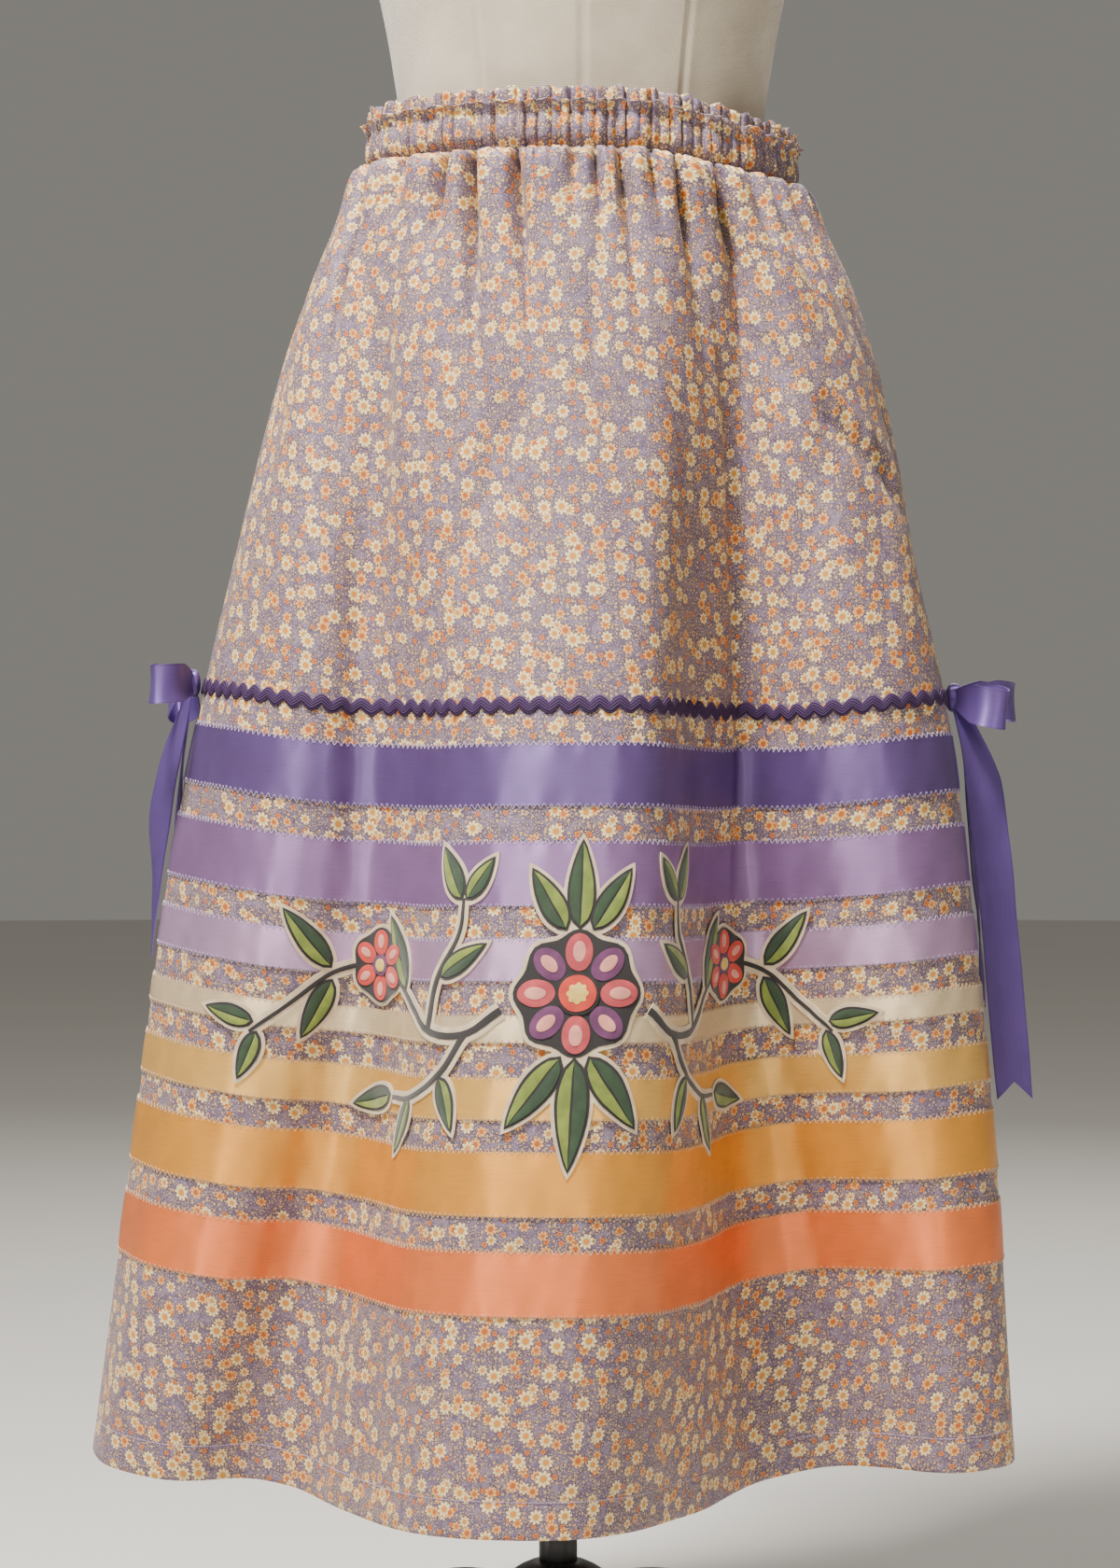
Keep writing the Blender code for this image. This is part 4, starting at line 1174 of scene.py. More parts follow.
@dataclass
class RibbonBand:
    """One satin ribbon sewn across one half of the skirt."""

    half: Half
    surface: SkirtSurface
    ribbon: Ribbon
    low: float = 0.35
    high: float = 0.85
    crown: float = 0.25
    rows: int = 9
    columns: int = 301

    def build(self, finish: bpy.types.Material) -> bpy.types.Object:
        """Lays a thin wall on the cloth between two drops, a little crowned across its width."""
        drops = self.ribbon.drop + np.linspace(0, self.ribbon.width, self.rows)
        places = self.half.value + np.linspace(0.0003, 0.9997, self.columns)
        around, drop = np.meshgrid(places, drops)
        point, facing = self.surface.point(around, drop), self.surface.facing(around, drop)
        crown = self.crown * np.sin(np.linspace(0, math.pi, self.rows))[:, None, None]
        outer, inner = point + (self.high + crown) * facing, point + self.low * facing
        uv = -arc_uv(outer)
        shape = Shape()
        shape.wall(outer, inner, uv)
        piece = settle(shape.piece(f"{self.half.label}_{self.ribbon.name}_ribbon", finish),
                       f"{self.ribbon.name}_satin", f"ribbon_{self.ribbon.name}_{self.half.label}")
        length = self.surface.arc(places, self.ribbon.drop + self.ribbon.width / 2)
        return piece


@dataclass
class RickRack:
    """The wavy braid above the ribbons."""

    half: Half
    surface: SkirtSurface
    drop: float = 342.0
    period: float = 12.0
    swing: float = 2.1
    half_width: float = 3.5
    low: float = 0.35
    high: float = 1.7
    steps: int = 16
    rows: int = 7

    def build(self, finish: bpy.types.Material) -> bpy.types.Object:
        """Lays a band whose edges swing together: round on the outside of each bend.

        The upper edge follows the size of cos(phase / 2) and the lower one that of
        sin(phase / 2), so the inside of each bend is a sharp corner.
        """
        length = self.surface.arc(self.half.value + np.linspace(0, 1, 400), self.drop)
        waves = round(length / self.period)
        count = waves * self.steps + 1
        places = self.half.value + np.linspace(0.0004, 0.9996, count)
        phase = np.linspace(0, waves * math.tau, count)
        upper = -self.half_width - self.swing * (2 * np.abs(np.cos(phase / 2)) - 1)
        lower = self.half_width + self.swing * (2 * np.abs(np.sin(phase / 2)) - 1)
        across = np.linspace(-1, 1, self.rows)
        share = (across[:, None] + 1) / 2
        drop = self.drop + upper * (1 - share) + lower * share
        around = np.broadcast_to(places, drop.shape)
        point, facing = self.surface.point(around, drop), self.surface.facing(around, drop)
        round_off = (1 - 0.75 * across**4)[:, None, None]
        outer = point + (self.low + (self.high - self.low) * round_off) * facing
        inner = point + self.low * facing
        u, v = np.broadcast_arrays(np.linspace(0, length, count), (across[:, None] + 1)
                                   * self.half_width)
        shape = Shape()
        shape.wall(outer, inner, np.dstack([u, v]) * MM)
        piece = settle(shape.piece(f"{self.half.label}_rick_rack", finish, 80), "rick_rack_braid",
                       f"rick_rack_{self.half.label}")
        return piece


@dataclass
class Stitching:
    """Rows of zigzag along the ribbons' edges, and one straight row at the turned hem."""

    half: Half
    surface: SkirtSurface
    period: float = 4.2
    swing: float = 1.5
    radius: float = 0.26
    on_ribbon: float = 1.0
    on_cloth: float = 0.22
    hem_drop: float = 807.0
    straight: float = 3.4

    def stitches(self, start: np.ndarray, end: np.ndarray, facing: np.ndarray) -> Shape:
        """Makes one small closed prism for each stitch.

        Args:
            start: where each stitch begins, count by three.
            end: where it ends.
            facing: the cloth's outward direction there.

        Returns:
            The joined prisms: four sides and two ends each.
        """
        along = unit(end - start)
        side = unit(np.cross(along, facing))
        up = np.cross(side, along)
        corners = [(-1, -0.6), (1, -0.6), (0.8, 0.9), (-0.8, 0.9)]
        ring = np.stack([self.radius * (a * side + b * up) for a, b in corners], axis=1)
        points = np.concatenate([start[:, None] + ring, end[:, None] + ring], axis=1)
        cube = np.array([(0, 1, 5, 4), (1, 2, 6, 5), (2, 3, 7, 6), (3, 0, 4, 7), (3, 2, 1, 0),
                         (4, 5, 6, 7)])
        faces = (cube[None] + 8 * np.arange(len(start))[:, None, None]).reshape(-1, 4)
        shape = Shape()
        shape.add(points, [faces], points[..., :2].reshape(-1, 2) * MM)
        return shape

    def zigzag(self, edge: float, inward: int) -> tuple[np.ndarray, np.ndarray, np.ndarray]:
        """The stitches along one edge of a ribbon.

        Args:
            edge: the edge's drop.
            inward: 1 where the ribbon lies below the edge and -1 where it lies above.

        Returns:
            Their starts, ends and outward directions.
        """
        length = self.surface.arc(self.half.value + np.linspace(0, 1, 400), edge)
        count = 2 * round(length / self.period)
        places = self.half.value + np.linspace(0.002, 0.998, count + 1)
        side = np.where(np.arange(count + 1) % 2, 1, -1)
        drops = edge + self.swing * side + 0.2 * np.sin(np.arange(count + 1) * 1.9)
        lift = np.where(side * inward > 0, self.on_ribbon, self.on_cloth)
        facing = self.surface.facing(places, drops)
        point = self.surface.point(places, drops) + lift[:, None] * facing
        return point[:-1], point[1:], facing[:-1]

    def row(self, drop: float, lift: float) -> tuple[np.ndarray, np.ndarray, np.ndarray]:
        """A straight row: stitches with a short space between them."""
        length = self.surface.arc(self.half.value + np.linspace(0, 1, 400), drop)
        count = round(length / self.straight)
        places = self.half.value + np.linspace(0.002, 0.998, count + 1)
        facing = self.surface.facing(places, np.full(count + 1, drop))
        point = self.surface.point(places, np.full(count + 1, drop)) + lift * facing
        return point[:-1], point[:-1] + 0.8 * (point[1:] - point[:-1]), facing[:-1]

    def build(self, finishes: dict[str, bpy.types.Material]) -> list[bpy.types.Object]:
        """Makes one piece for each thread colour."""
        runs: dict[str, list[tuple[np.ndarray, np.ndarray, np.ndarray]]] = {}
        for ribbon in RIBBONS:
            runs.setdefault(ribbon.thread, []).extend(
                [self.zigzag(ribbon.drop, 1), self.zigzag(ribbon.drop + ribbon.width, -1)])
        runs["lilac"].append(self.row(self.hem_drop, -0.12))
        made = []
        for thread, found in runs.items():
            start, end, facing = (np.concatenate([run[k] for run in found]) for k in range(3))
            shape = self.stitches(start, end, facing)
            piece = shape.piece(f"{self.half.label}_{thread}_stitches", finishes[thread], 80)
            made.append(settle(piece, "printed_cotton"))
        return made


# ------------------------------------------------------------------ applique


class Leaf(NamedTuple):
    """A leaf that grows from a foot towards an angle; 90 is down the cloth."""

    across: float
    drop: float
    angle: float
    length: float
    width: float


class Flat(NamedTuple):
    """A cut-out shape: a flat grid of points, its colour and the layer it lies on."""

    grid: np.ndarray
    colour: str
    layer: int


@dataclass
class Garland:
    """The applique: a rosette with a scrolling sprig on each side, all of cut-out cotton."""

    surface: SkirtSurface
    middle: tuple[float, float] = (-24.0, 512.0)
    rosette_radius: float = 40.0
    stem_half: float = 5.5
    backing_low: float = 1.15
    backing_high: float = 1.85
    layer_height: float = 0.42
    spacing: float = 5.0
    least_area_share: float = 0.3001
    scroll: tuple[tuple[float, float], ...] = (
        (44, 10), (66, 24), (98, 22), (128, 2), (160, -14), (194, -8), (222, 14), (246, 34))
    upper_sprig: tuple[tuple[float, float], ...] = ((98, 22), (92, -8), (76, -34), (74, -56))
    lower_sprig: tuple[tuple[float, float], ...] = ((66, 24), (84, 48), (112, 62), (140, 64))
    side_flower: tuple[float, float, float] = (160.0, -14.0, 25.0)
    rosette_leaves: tuple[Leaf, ...] = (
        Leaf(6, 34, 56, 58, 23), Leaf(0, 34, 90, 74, 24), Leaf(-6, 34, 124, 58, 23),
        Leaf(6, -34, -58, 50, 21), Leaf(0, -34, -90, 60, 22), Leaf(-6, -34, -122, 50, 21))
    scroll_leaves: tuple[Leaf, ...] = (
        Leaf(128, 2, -62, 56, 22), Leaf(92, -8, -150, 46, 19), Leaf(74, -52, -60, 44, 20),
        Leaf(74, -52, -125, 38, 18), Leaf(140, 62, 14, 46, 20), Leaf(112, 60, 62, 46, 19),
        Leaf(84, 46, 112, 42, 18), Leaf(194, -8, -48, 52, 21), Leaf(194, -6, 62, 50, 20),
        Leaf(240, 28, -8, 40, 18), Leaf(240, 30, 70, 40, 17))

    # -------- flat shapes

    def smooth(self, path: Sequence[tuple[float, float]], count: int = 40) -> np.ndarray:
        """A smooth line through a path's points, evenly counted."""
        path = np.array(path, float)
        at = np.arange(len(path))
        wanted = np.linspace(0, len(path) - 1, count)
        return np.stack([through(at, path[:, 0], wanted), through(at, path[:, 1], wanted)], axis=1)

    def leaf_grid(self, leaf: Leaf, inset: float, low: float, high: float, rows: int = 5,
                  count: int = 13) -> np.ndarray:
        """A strip of a leaf between two shares of its half width.

        The half width at a share s of the length goes as sin(pi s^0.75)^0.8.
        """
        along = np.linspace(0.0, 1.0, count)
        half = (leaf.width / 2 - inset) * np.sin(math.pi * along**0.75).clip(0) ** 0.8
        x = inset * 1.4 + along * (leaf.length - 3.0 * inset)
        share = np.linspace(low, high, rows)[:, None]
        x, y = np.broadcast_arrays(x, share * half)
        turn = math.radians(leaf.angle)
        return np.stack([leaf.across + x * math.cos(turn) - y * math.sin(turn),
                         leaf.drop + x * math.sin(turn) + y * math.cos(turn)], axis=-1)

    def stem_grid(self, path: Sequence[tuple[float, float]], half: float, end: float) -> np.ndarray:
        """A stem along a smooth path, narrowing to a share of its half width."""
        line = self.smooth(path)
        along = unit(np.gradient(line, axis=0))
        square = np.stack([-along[:, 1], along[:, 0]], axis=1)
        width = half * np.linspace(1, end, len(line))
        return line + np.linspace(-1, 1, 4)[:, None, None] * (width[:, None] * square)

    def disc(self, across: float, drop: float, radius: float, petals: int = 0, depth: float = 0.0,
             turned_by: float = 0.0, stretch: float = 1.0, count: int = 15) -> np.ndarray:
        """A disc or flower as a square grid bent round: u sqrt(1 - v^2 / 2) and its pair.

        The edge swells with the cosine of petals times the angle, and stretch draws the disc
        out along its turned direction.
        """
        v, u = np.meshgrid(np.linspace(-1, 1, count), np.linspace(-1, 1, count), indexing="ij")
        x, y = u * np.sqrt(1 - v * v / 2), v * np.sqrt(1 - u * u / 2)
        swell = 1 - depth / 2 + depth / 2 * np.cos(petals * np.arctan2(y, x))
        x, y = x * swell * radius * stretch, y * swell * radius
        c, s = math.cos(turned_by), math.sin(turned_by)
        return np.stack([across + x * c - y * s, drop + x * s + y * c], axis=-1)

    def petals(self, across: float, drop: float, count: int, reach: float, size: float,
               stretch: float, start: float = 0.0) -> list[np.ndarray]:
        """Oval petals in a ring round a centre."""
        turns = start + np.arange(count) * math.tau / count
        return [self.disc(across + reach * math.cos(t), drop + reach * math.sin(t), size,
                          turned_by=t, stretch=stretch, count=9) for t in turns]

    def rosette_shapes(self) -> list[Flat]:
        """The middle flower: dark ground, eight plum and rose petals, a ring and a heart."""
        r = self.rosette_radius
        found = [Flat(self.disc(0, 0, r - 2.4, 8, 0.10), "bark", 1)]
        for number, petal in enumerate(self.petals(0, 0, 8, 24.0, 8.0, 1.38)):
            found.append(Flat(petal, "plum" if number % 2 else "rose", 2))
        found += [Flat(p, "blush", 3) for p in self.petals(0, 0, 8, 24.5, 3.6, 1.7)]
        found += [Flat(self.disc(0, 0, 12.6), "bark", 3), Flat(self.disc(0, 0, 10.8), "coral", 4)]
        found += [Flat(self.disc(0, 0, 6.6, 8, 0.18), "straw", 5)]
        return found

    def side_shapes(self) -> list[Flat]:
        """One side's stems and six-petalled flower."""
        found = [Flat(self.stem_grid(path, 2.3, end), "bark", 1)
                 for path, end in ((self.scroll, 0.45), (self.upper_sprig, 0.5),
                                   (self.lower_sprig, 0.5))]
        x, y, radius = self.side_flower
        found.append(Flat(self.disc(x, y, radius - 2.2, 6, 0.10, math.pi / 6), "bark", 2))
        found += [Flat(p, "coral", 3) for p in self.petals(x, y, 6, 13.6, 5.9, 1.30, math.pi / 6)]
        found += [Flat(p, "blush", 4) for p in self.petals(x, y, 6, 14.4, 2.5, 1.7, math.pi / 6)]
        found += [Flat(self.disc(x, y, 6.4), "plum", 4), Flat(self.disc(x, y, 4.0), "straw", 5)]
        return found

    def leaf_shapes(self, leaves: Sequence[Leaf]) -> list[Flat]:
        """Two-tone leaves: a dark edge and rib, a green half and a lime half."""
        found = []
        for leaf in leaves:
            found += [Flat(self.leaf_grid(leaf, 2.1, -1.0, 1.0, 7), "bark", 1),
                      Flat(self.leaf_grid(leaf, 3.7, -0.98, -0.09, 4), "green", 2),
                      Flat(self.leaf_grid(leaf, 3.7, 0.09, 0.98, 4), "lime", 2)]
        return found

    def outlines(self, shapes: Sequence[Flat], stems: Sequence[Sequence[tuple[float, float]]],
                 leaves: Sequence[Leaf]) -> list[np.ndarray]:
        """Closed outlines of the backing under stems, leaves and flowers."""
        found = []
        for path in stems:
            grid = self.stem_grid(path, self.stem_half, 0.72)
            found.append(np.concatenate([grid[0], grid[-1][::-1]]))
        for leaf in leaves:
            grid = self.leaf_grid(leaf, 0.0, -1.0, 1.0, 3, 17)
            found.append(np.concatenate([grid[0][:-1], grid[-1][:0:-1]]))
        turn = np.arange(72) * math.tau / 72
        for x, y, radius, petals in shapes:
            reach = radius * (0.955 + 0.045 * np.cos(petals * turn + (petals == 6) * math.pi))
            found.append(np.stack([x + reach * np.cos(turn), y + reach * np.sin(turn)], axis=1))
        return found

    # -------- laid on the cloth

    def lay(self, flat: np.ndarray, height: float) -> np.ndarray:
        """Points above the cloth for flat places of the design."""
        around = 0.5 + (flat[..., 0] + self.middle[0]) / self.front_width
        return self.surface.lifted(around, flat[..., 1] + self.middle[1], height)

    def backing(self, outlines: Sequence[np.ndarray]) -> Shape:
        """Joins outlines into one cut-out sheet with a wall.

        Points of an even grid inside the outlines are joined with them into triangles, so the
        sheet can follow the folds.
        """
        points: list[Sequence[float]] = []
        faces = []
        for outline in outlines:
            first = len(points)
            points += outline.tolist()
            faces.append(list(range(first, len(points))))
        every = np.concatenate(outlines)
        low, high = every.min(axis=0), every.max(axis=0)
        grid = np.stack(np.meshgrid(np.arange(low[0], high[0], self.spacing),
                                    np.arange(low[1], high[1], self.spacing)), axis=-1)
        points += (grid.reshape(-1, 2) + 0.137).tolist()
        flat, _, triangles, *_ = delaunay_2d_cdt(points, [], faces, 1, 0.01)
        flat, triangles = np.array([tuple(p) for p in flat]), np.array(triangles)
        used, triangles = np.unique(triangles, return_inverse=True)
        flat, triangles = flat[used], triangles.reshape(-1, 3)
        a, b, c = (flat[triangles[:, k]] for k in range(3))
        area = (b - a)[:, 0] * (c - a)[:, 1] - (b - a)[:, 1] * (c - a)[:, 0]
        triangles[area > 0] = triangles[area > 0][:, ::-1]
        edges = np.concatenate([triangles[:, [0, 1]], triangles[:, [1, 2]], triangles[:, [2, 0]]])
        _, index, uses = np.unique(np.sort(edges, axis=1), axis=0, return_inverse=True,
                                   return_counts=True)
        rim = edges[uses[index.reshape(-1)] == 1]
        size = len(flat)
        sides = np.stack([rim[:, 1], rim[:, 0], rim[:, 0] + size, rim[:, 1] + size], axis=1)
        shape = Shape()
        shape.add(np.concatenate([self.lay(flat, self.backing_high),
                                  self.lay(flat, self.backing_low)]),
                  [triangles, triangles[:, ::-1] + size, sides],
                  np.concatenate([flat, flat]) * MM)
        return shape

    def coloured(self, name: str, shapes: Sequence[Flat],
                 finishes: dict[str, bpy.types.Material]) -> list[bpy.types.Object]:
        """Makes one piece of each colour from the cut-out shapes.

        Each shape is a thin wall whose height rises a little to its middle, so it looks
        pressed down at its edge by stitching.
        """
        made = []
        for colour in sorted({shape.colour for shape in shapes}):
            joined = Shape()
            for shape in shapes:
                if shape.colour != colour:
                    continue
                low = self.backing_high + self.layer_height * (shape.layer - 1) - 0.1
                rows, columns = shape.grid.shape[:2]
                crown = np.minimum(np.sin(np.linspace(0, math.pi, rows))[:, None],
                                   np.sin(np.linspace(0, math.pi, columns))[None])
                rise = self.layer_height * (0.9 + 0.5 * np.minimum(crown * 1.6, 1))[..., None]
                inner = self.lay(shape.grid, low)
                outer = inner + rise * unit(self.lay(shape.grid, low + 1) - inner)
                joined.wall(outer, inner, shape.grid * MM)
            piece = joined.piece(f"{name}_{colour}", finishes[colour], 40)
            made.append(settle(piece, "applique_cloth"))
        return made

    def build(self, finishes: dict[str, bpy.types.Material]) -> None:
        """Makes the rosette and the two sprigs, each a backing with its coloured shapes.

        The side backings are slimmer than that, so theirs is the least share and not their
        own area.
        """
        self.front_width = self.surface.arc(np.linspace(0, 1, 400), self.middle[1])
        groups = (
            ("rosette", 1, self.rosette_shapes() + self.leaf_shapes(self.rosette_leaves),
             self.outlines([(0, 0, self.rosette_radius, 8)], [], self.rosette_leaves)),
            *((name, side, self.side_shapes() + self.leaf_shapes(self.scroll_leaves),
               self.outlines([(*self.side_flower, 6)],
                             [self.scroll, self.upper_sprig, self.lower_sprig],
                             self.scroll_leaves)) for name, side in (("left", -1), ("right", 1))),
        )
        for name, side, shapes, outlines in groups:
            shapes = [s._replace(grid=s.grid * (side, 1)) for s in shapes]
            sheet = self.backing([outline * (side, 1) for outline in outlines])
            backing = settle(sheet.piece(f"applique_{name}_backing", finishes["backing"], 40),
                             "applique_cloth", f"applique_{name}")
            layers = self.coloured(f"applique_{name}", shapes, finishes)


# ------------------------------------------------------------------ bows


class Loop(NamedTuple):
    """A bow's loop: its name, direction and length."""

    name: str
    out: float
    forward: float
    up: float
    length: float


class TailRow(NamedTuple):
    """A place along a hanging end: how far down, out and forward, and which way it faces."""

    down: float
    out: float
    forward: float
    facing: float


@dataclass
class SideBow:
    """A satin bow on a side seam: knot, two loops and two hanging ends."""

    name: str
    side: int
    around: float
    loops: tuple[Loop, ...]
    tails: dict[str, tuple[TailRow, ...]]
    surface: SkirtSurface
    drop: float = 342.0
    width: float = 24.0
    standoff: float = 2.8
    knot_radii: tuple[float, float, float] = (5.0, 8.0, 9.0)
    wall: float = 0.7
    tucked: float = 4.0
    fishtail: float = 11.0

    def strip(self, name: str, path: np.ndarray, across: np.ndarray, half: np.ndarray,
              finish: bpy.types.Material, cup: float, notch: float) -> bpy.types.Object:
        """A ribbon along a path, cupped across its width, with a notched end if asked.

        Args:
            name: the piece's name.
            path: points along the ribbon's middle.
            across: unit directions across the ribbon.
            half: its half width at each point.
            finish: its material.
            cup: how far the middle stands out from the edges.
            notch: depth of the fishtail cut in its far end, or 0.

        Returns:
            The finished piece.
        """
        share = np.linspace(-1, 1, 11)
        along = running(lengths(path))
        length = along[-1]
        face = unit(np.cross(np.gradient(path, axis=0), across))
        near_end = np.clip((along - 0.55 * length) / (0.45 * length), 0, 1)
        place = along[None] - notch * (1 - np.abs(share))[:, None] * near_end[None]
        fields = np.concatenate([path, across, face, half[:, None]], axis=1)
        read = np.stack([np.interp(place, along, fields[:, k]) for k in range(10)], axis=-1)
        bow = cup * (1 - share**2)[:, None] + 0.35 * np.sin(place / 9 + 2 * share[:, None])
        middle = read[..., :3] + share[:, None, None] * read[..., 9:] * unit(read[..., 3:6])
        middle = middle + bow[..., None] * read[..., 6:9]
        lift = self.wall / 2 * unit(read[..., 6:9])
        uv = np.dstack([place, np.broadcast_to((share[:, None] + 1) * self.width / 2,
                                               place.shape)]) * MM
        shape = Shape()
        shape.wall(middle + lift, middle - lift, uv)
        return shape.piece(name, finish, 60)

    def knot(self, centre: np.ndarray, finish: bpy.types.Material) -> bpy.types.Object:
        """The knot: a squared ball with upright pleats, as of one ribbon wrapped round."""
        v = np.linspace(0.06, math.pi - 0.06, 25)[:, None]
        u = (np.arange(40) * math.tau / 40)[None]
        pleat = 1 + 0.06 * np.sin(5 * np.sin(u) * 1.6 + 0.8) * np.sin(v)
        square = (np.abs(np.cos(u)) ** 3 + np.abs(np.sin(u)) ** 3) ** (-1 / 3)
        rx, ry, rz = self.knot_radii
        rings = np.stack([rx * square * pleat * np.sin(v) ** 0.7 * np.cos(u),
                          ry * square * pleat * np.sin(v) ** 0.7 * np.sin(u),
                          np.broadcast_to(-rz * np.cos(v), (25, 40))], axis=-1)
        shape = Shape()
        uv = np.dstack(np.broadcast_arrays(v * 9, u * 4)) * MM
        shape.loft(centre + rings, uv)
        return shape.piece(f"{self.name}_bow_knot", finish, 70)

    def build(self, finish: bpy.types.Material) -> None:
        """Makes the knot, then the loops and the ends out of it."""
        seat = self.surface.plain(self.around, self.drop)
        out = self.surface.facing(self.around, self.drop, fine=False)
        seat = seat + self.surface.gathers(self.around, self.drop) * out
        radii = np.array(self.knot_radii)
        centre = seat + (self.standoff + np.linalg.norm(out * radii)) * out
        settle(self.knot(centre, finish), "bow_satin", f"bow_{self.name}_knot")
        for loop in self.loops:
            direction = unit(np.array((self.side * loop.out, -loop.forward, loop.up)))
            up = unit(np.array((0, 0, 1.0)) - direction[2] * direction)
            side = np.cross(up, direction)
            start = centre + (np.linalg.norm(direction * radii) - self.tucked) * direction
            reach_by = loop.length + self.tucked
            turn = np.linspace(0.10, 1, 26) * math.pi
            turn = np.concatenate([turn, math.tau - turn[-2::-1]])
            reach = reach_by * (1 - np.cos(turn)) / 2
            swell = 0.25 * reach_by * np.sin(turn) * (1 + 0.12 * np.cos(3 * turn))
            path = start + reach[:, None] * direction + swell[:, None] * side
            path[:, 2] -= 0.0016 * reach**2
            half = self.width / 2 * (0.36 + 0.64 * np.minimum(reach / (0.55 * reach_by), 1) ** 0.8)
            piece = self.strip(f"{self.name}_bow_{loop.name}_loop", path,
                               np.tile(up, (len(path), 1)), half, finish, 1.1, 0.0)
            settle(piece, "bow_satin", f"bow_{self.name}_loop_{loop.name}")
        for name, rows in self.tails.items():
            downs = [row.down for row in rows]
            down = np.linspace(downs[0], downs[-1], 60)
            wave = 1.1 * np.sin((down - downs[0]) / 17)
            reach = through(downs, [row.out for row in rows], down)
            forward = through(downs, [row.forward for row in rows], down)
            path = centre + np.stack([self.side * reach, -forward, -down], axis=1)
            turn = np.radians(through(downs, [row.facing for row in rows], down) + 3 * wave)
            across = np.stack([np.cos(turn), self.side * np.sin(turn), 0 * turn], axis=1)
            top = centre + (path[0] - centre) * 0.35
            path = np.concatenate([top[None], path])
            across = np.concatenate([across[:1], across])
            down = np.concatenate([[downs[0] - 6], down])
            half = self.width / 2 * (0.40 + 0.60 * np.clip((down - down[0]) / 46, 0, 1) ** 0.8)
            piece = self.strip(f"{self.name}_bow_{name}_end", path, across, half, finish, 0.8,
                               self.fishtail)
            settle(piece, "bow_satin", f"bow_{self.name}_tail_{name}")


def side_bows(surface: SkirtSurface) -> tuple[SideBow, SideBow]:
    """The left and the right bow, no two ends alike."""
    left = SideBow(
        "left", -1, 0.010,
        (Loop("front", 0.46, 0.84, 0.02, 34), Loop("rear", 0.30, -0.85, -0.25, 34)),
        {
            "front": (TailRow(11, 3, 3, 60), TailRow(42, 12, 0, 50), TailRow(72, 19, -4, 52),
                      TailRow(118, 23, -10, 68), TailRow(172, 27, -16, 82)),
            "rear": (TailRow(12, 3, -7, 75), TailRow(50, 8, -20, 78), TailRow(100, 13, -30, 82),
                     TailRow(150, 16, -38, 84)),
        },
        surface,
    )
    right = SideBow(
        "right", 1, 0.978,
        (Loop("front", 0.66, 0.74, -0.14, 36), Loop("rear", 0.90, -0.40, 0.00, 38)),
        {
            "front": (TailRow(11, 5, 5, 30), TailRow(38, 14, 8, 16), TailRow(88, 22, 8, 12),
                      TailRow(146, 28, 7, 12), TailRow(204, 33, 8, 14), TailRow(250, 37, 9, 14)),
            "rear": (TailRow(12, 3, -7, 76), TailRow(46, 9, -17, 78), TailRow(96, 14, -24, 80),
                     TailRow(150, 19, -29, 80), TailRow(196, 22, -31, 80)),
        },
        surface,
    )
    return left, right


# ------------------------------------------------------------------ form and stand


class FormSection(NamedTuple):
    """An oval of the dress form: height, sideways shift and its reaches."""

    height: float
    shift: float
    half_width: float
    front: float
    back: float


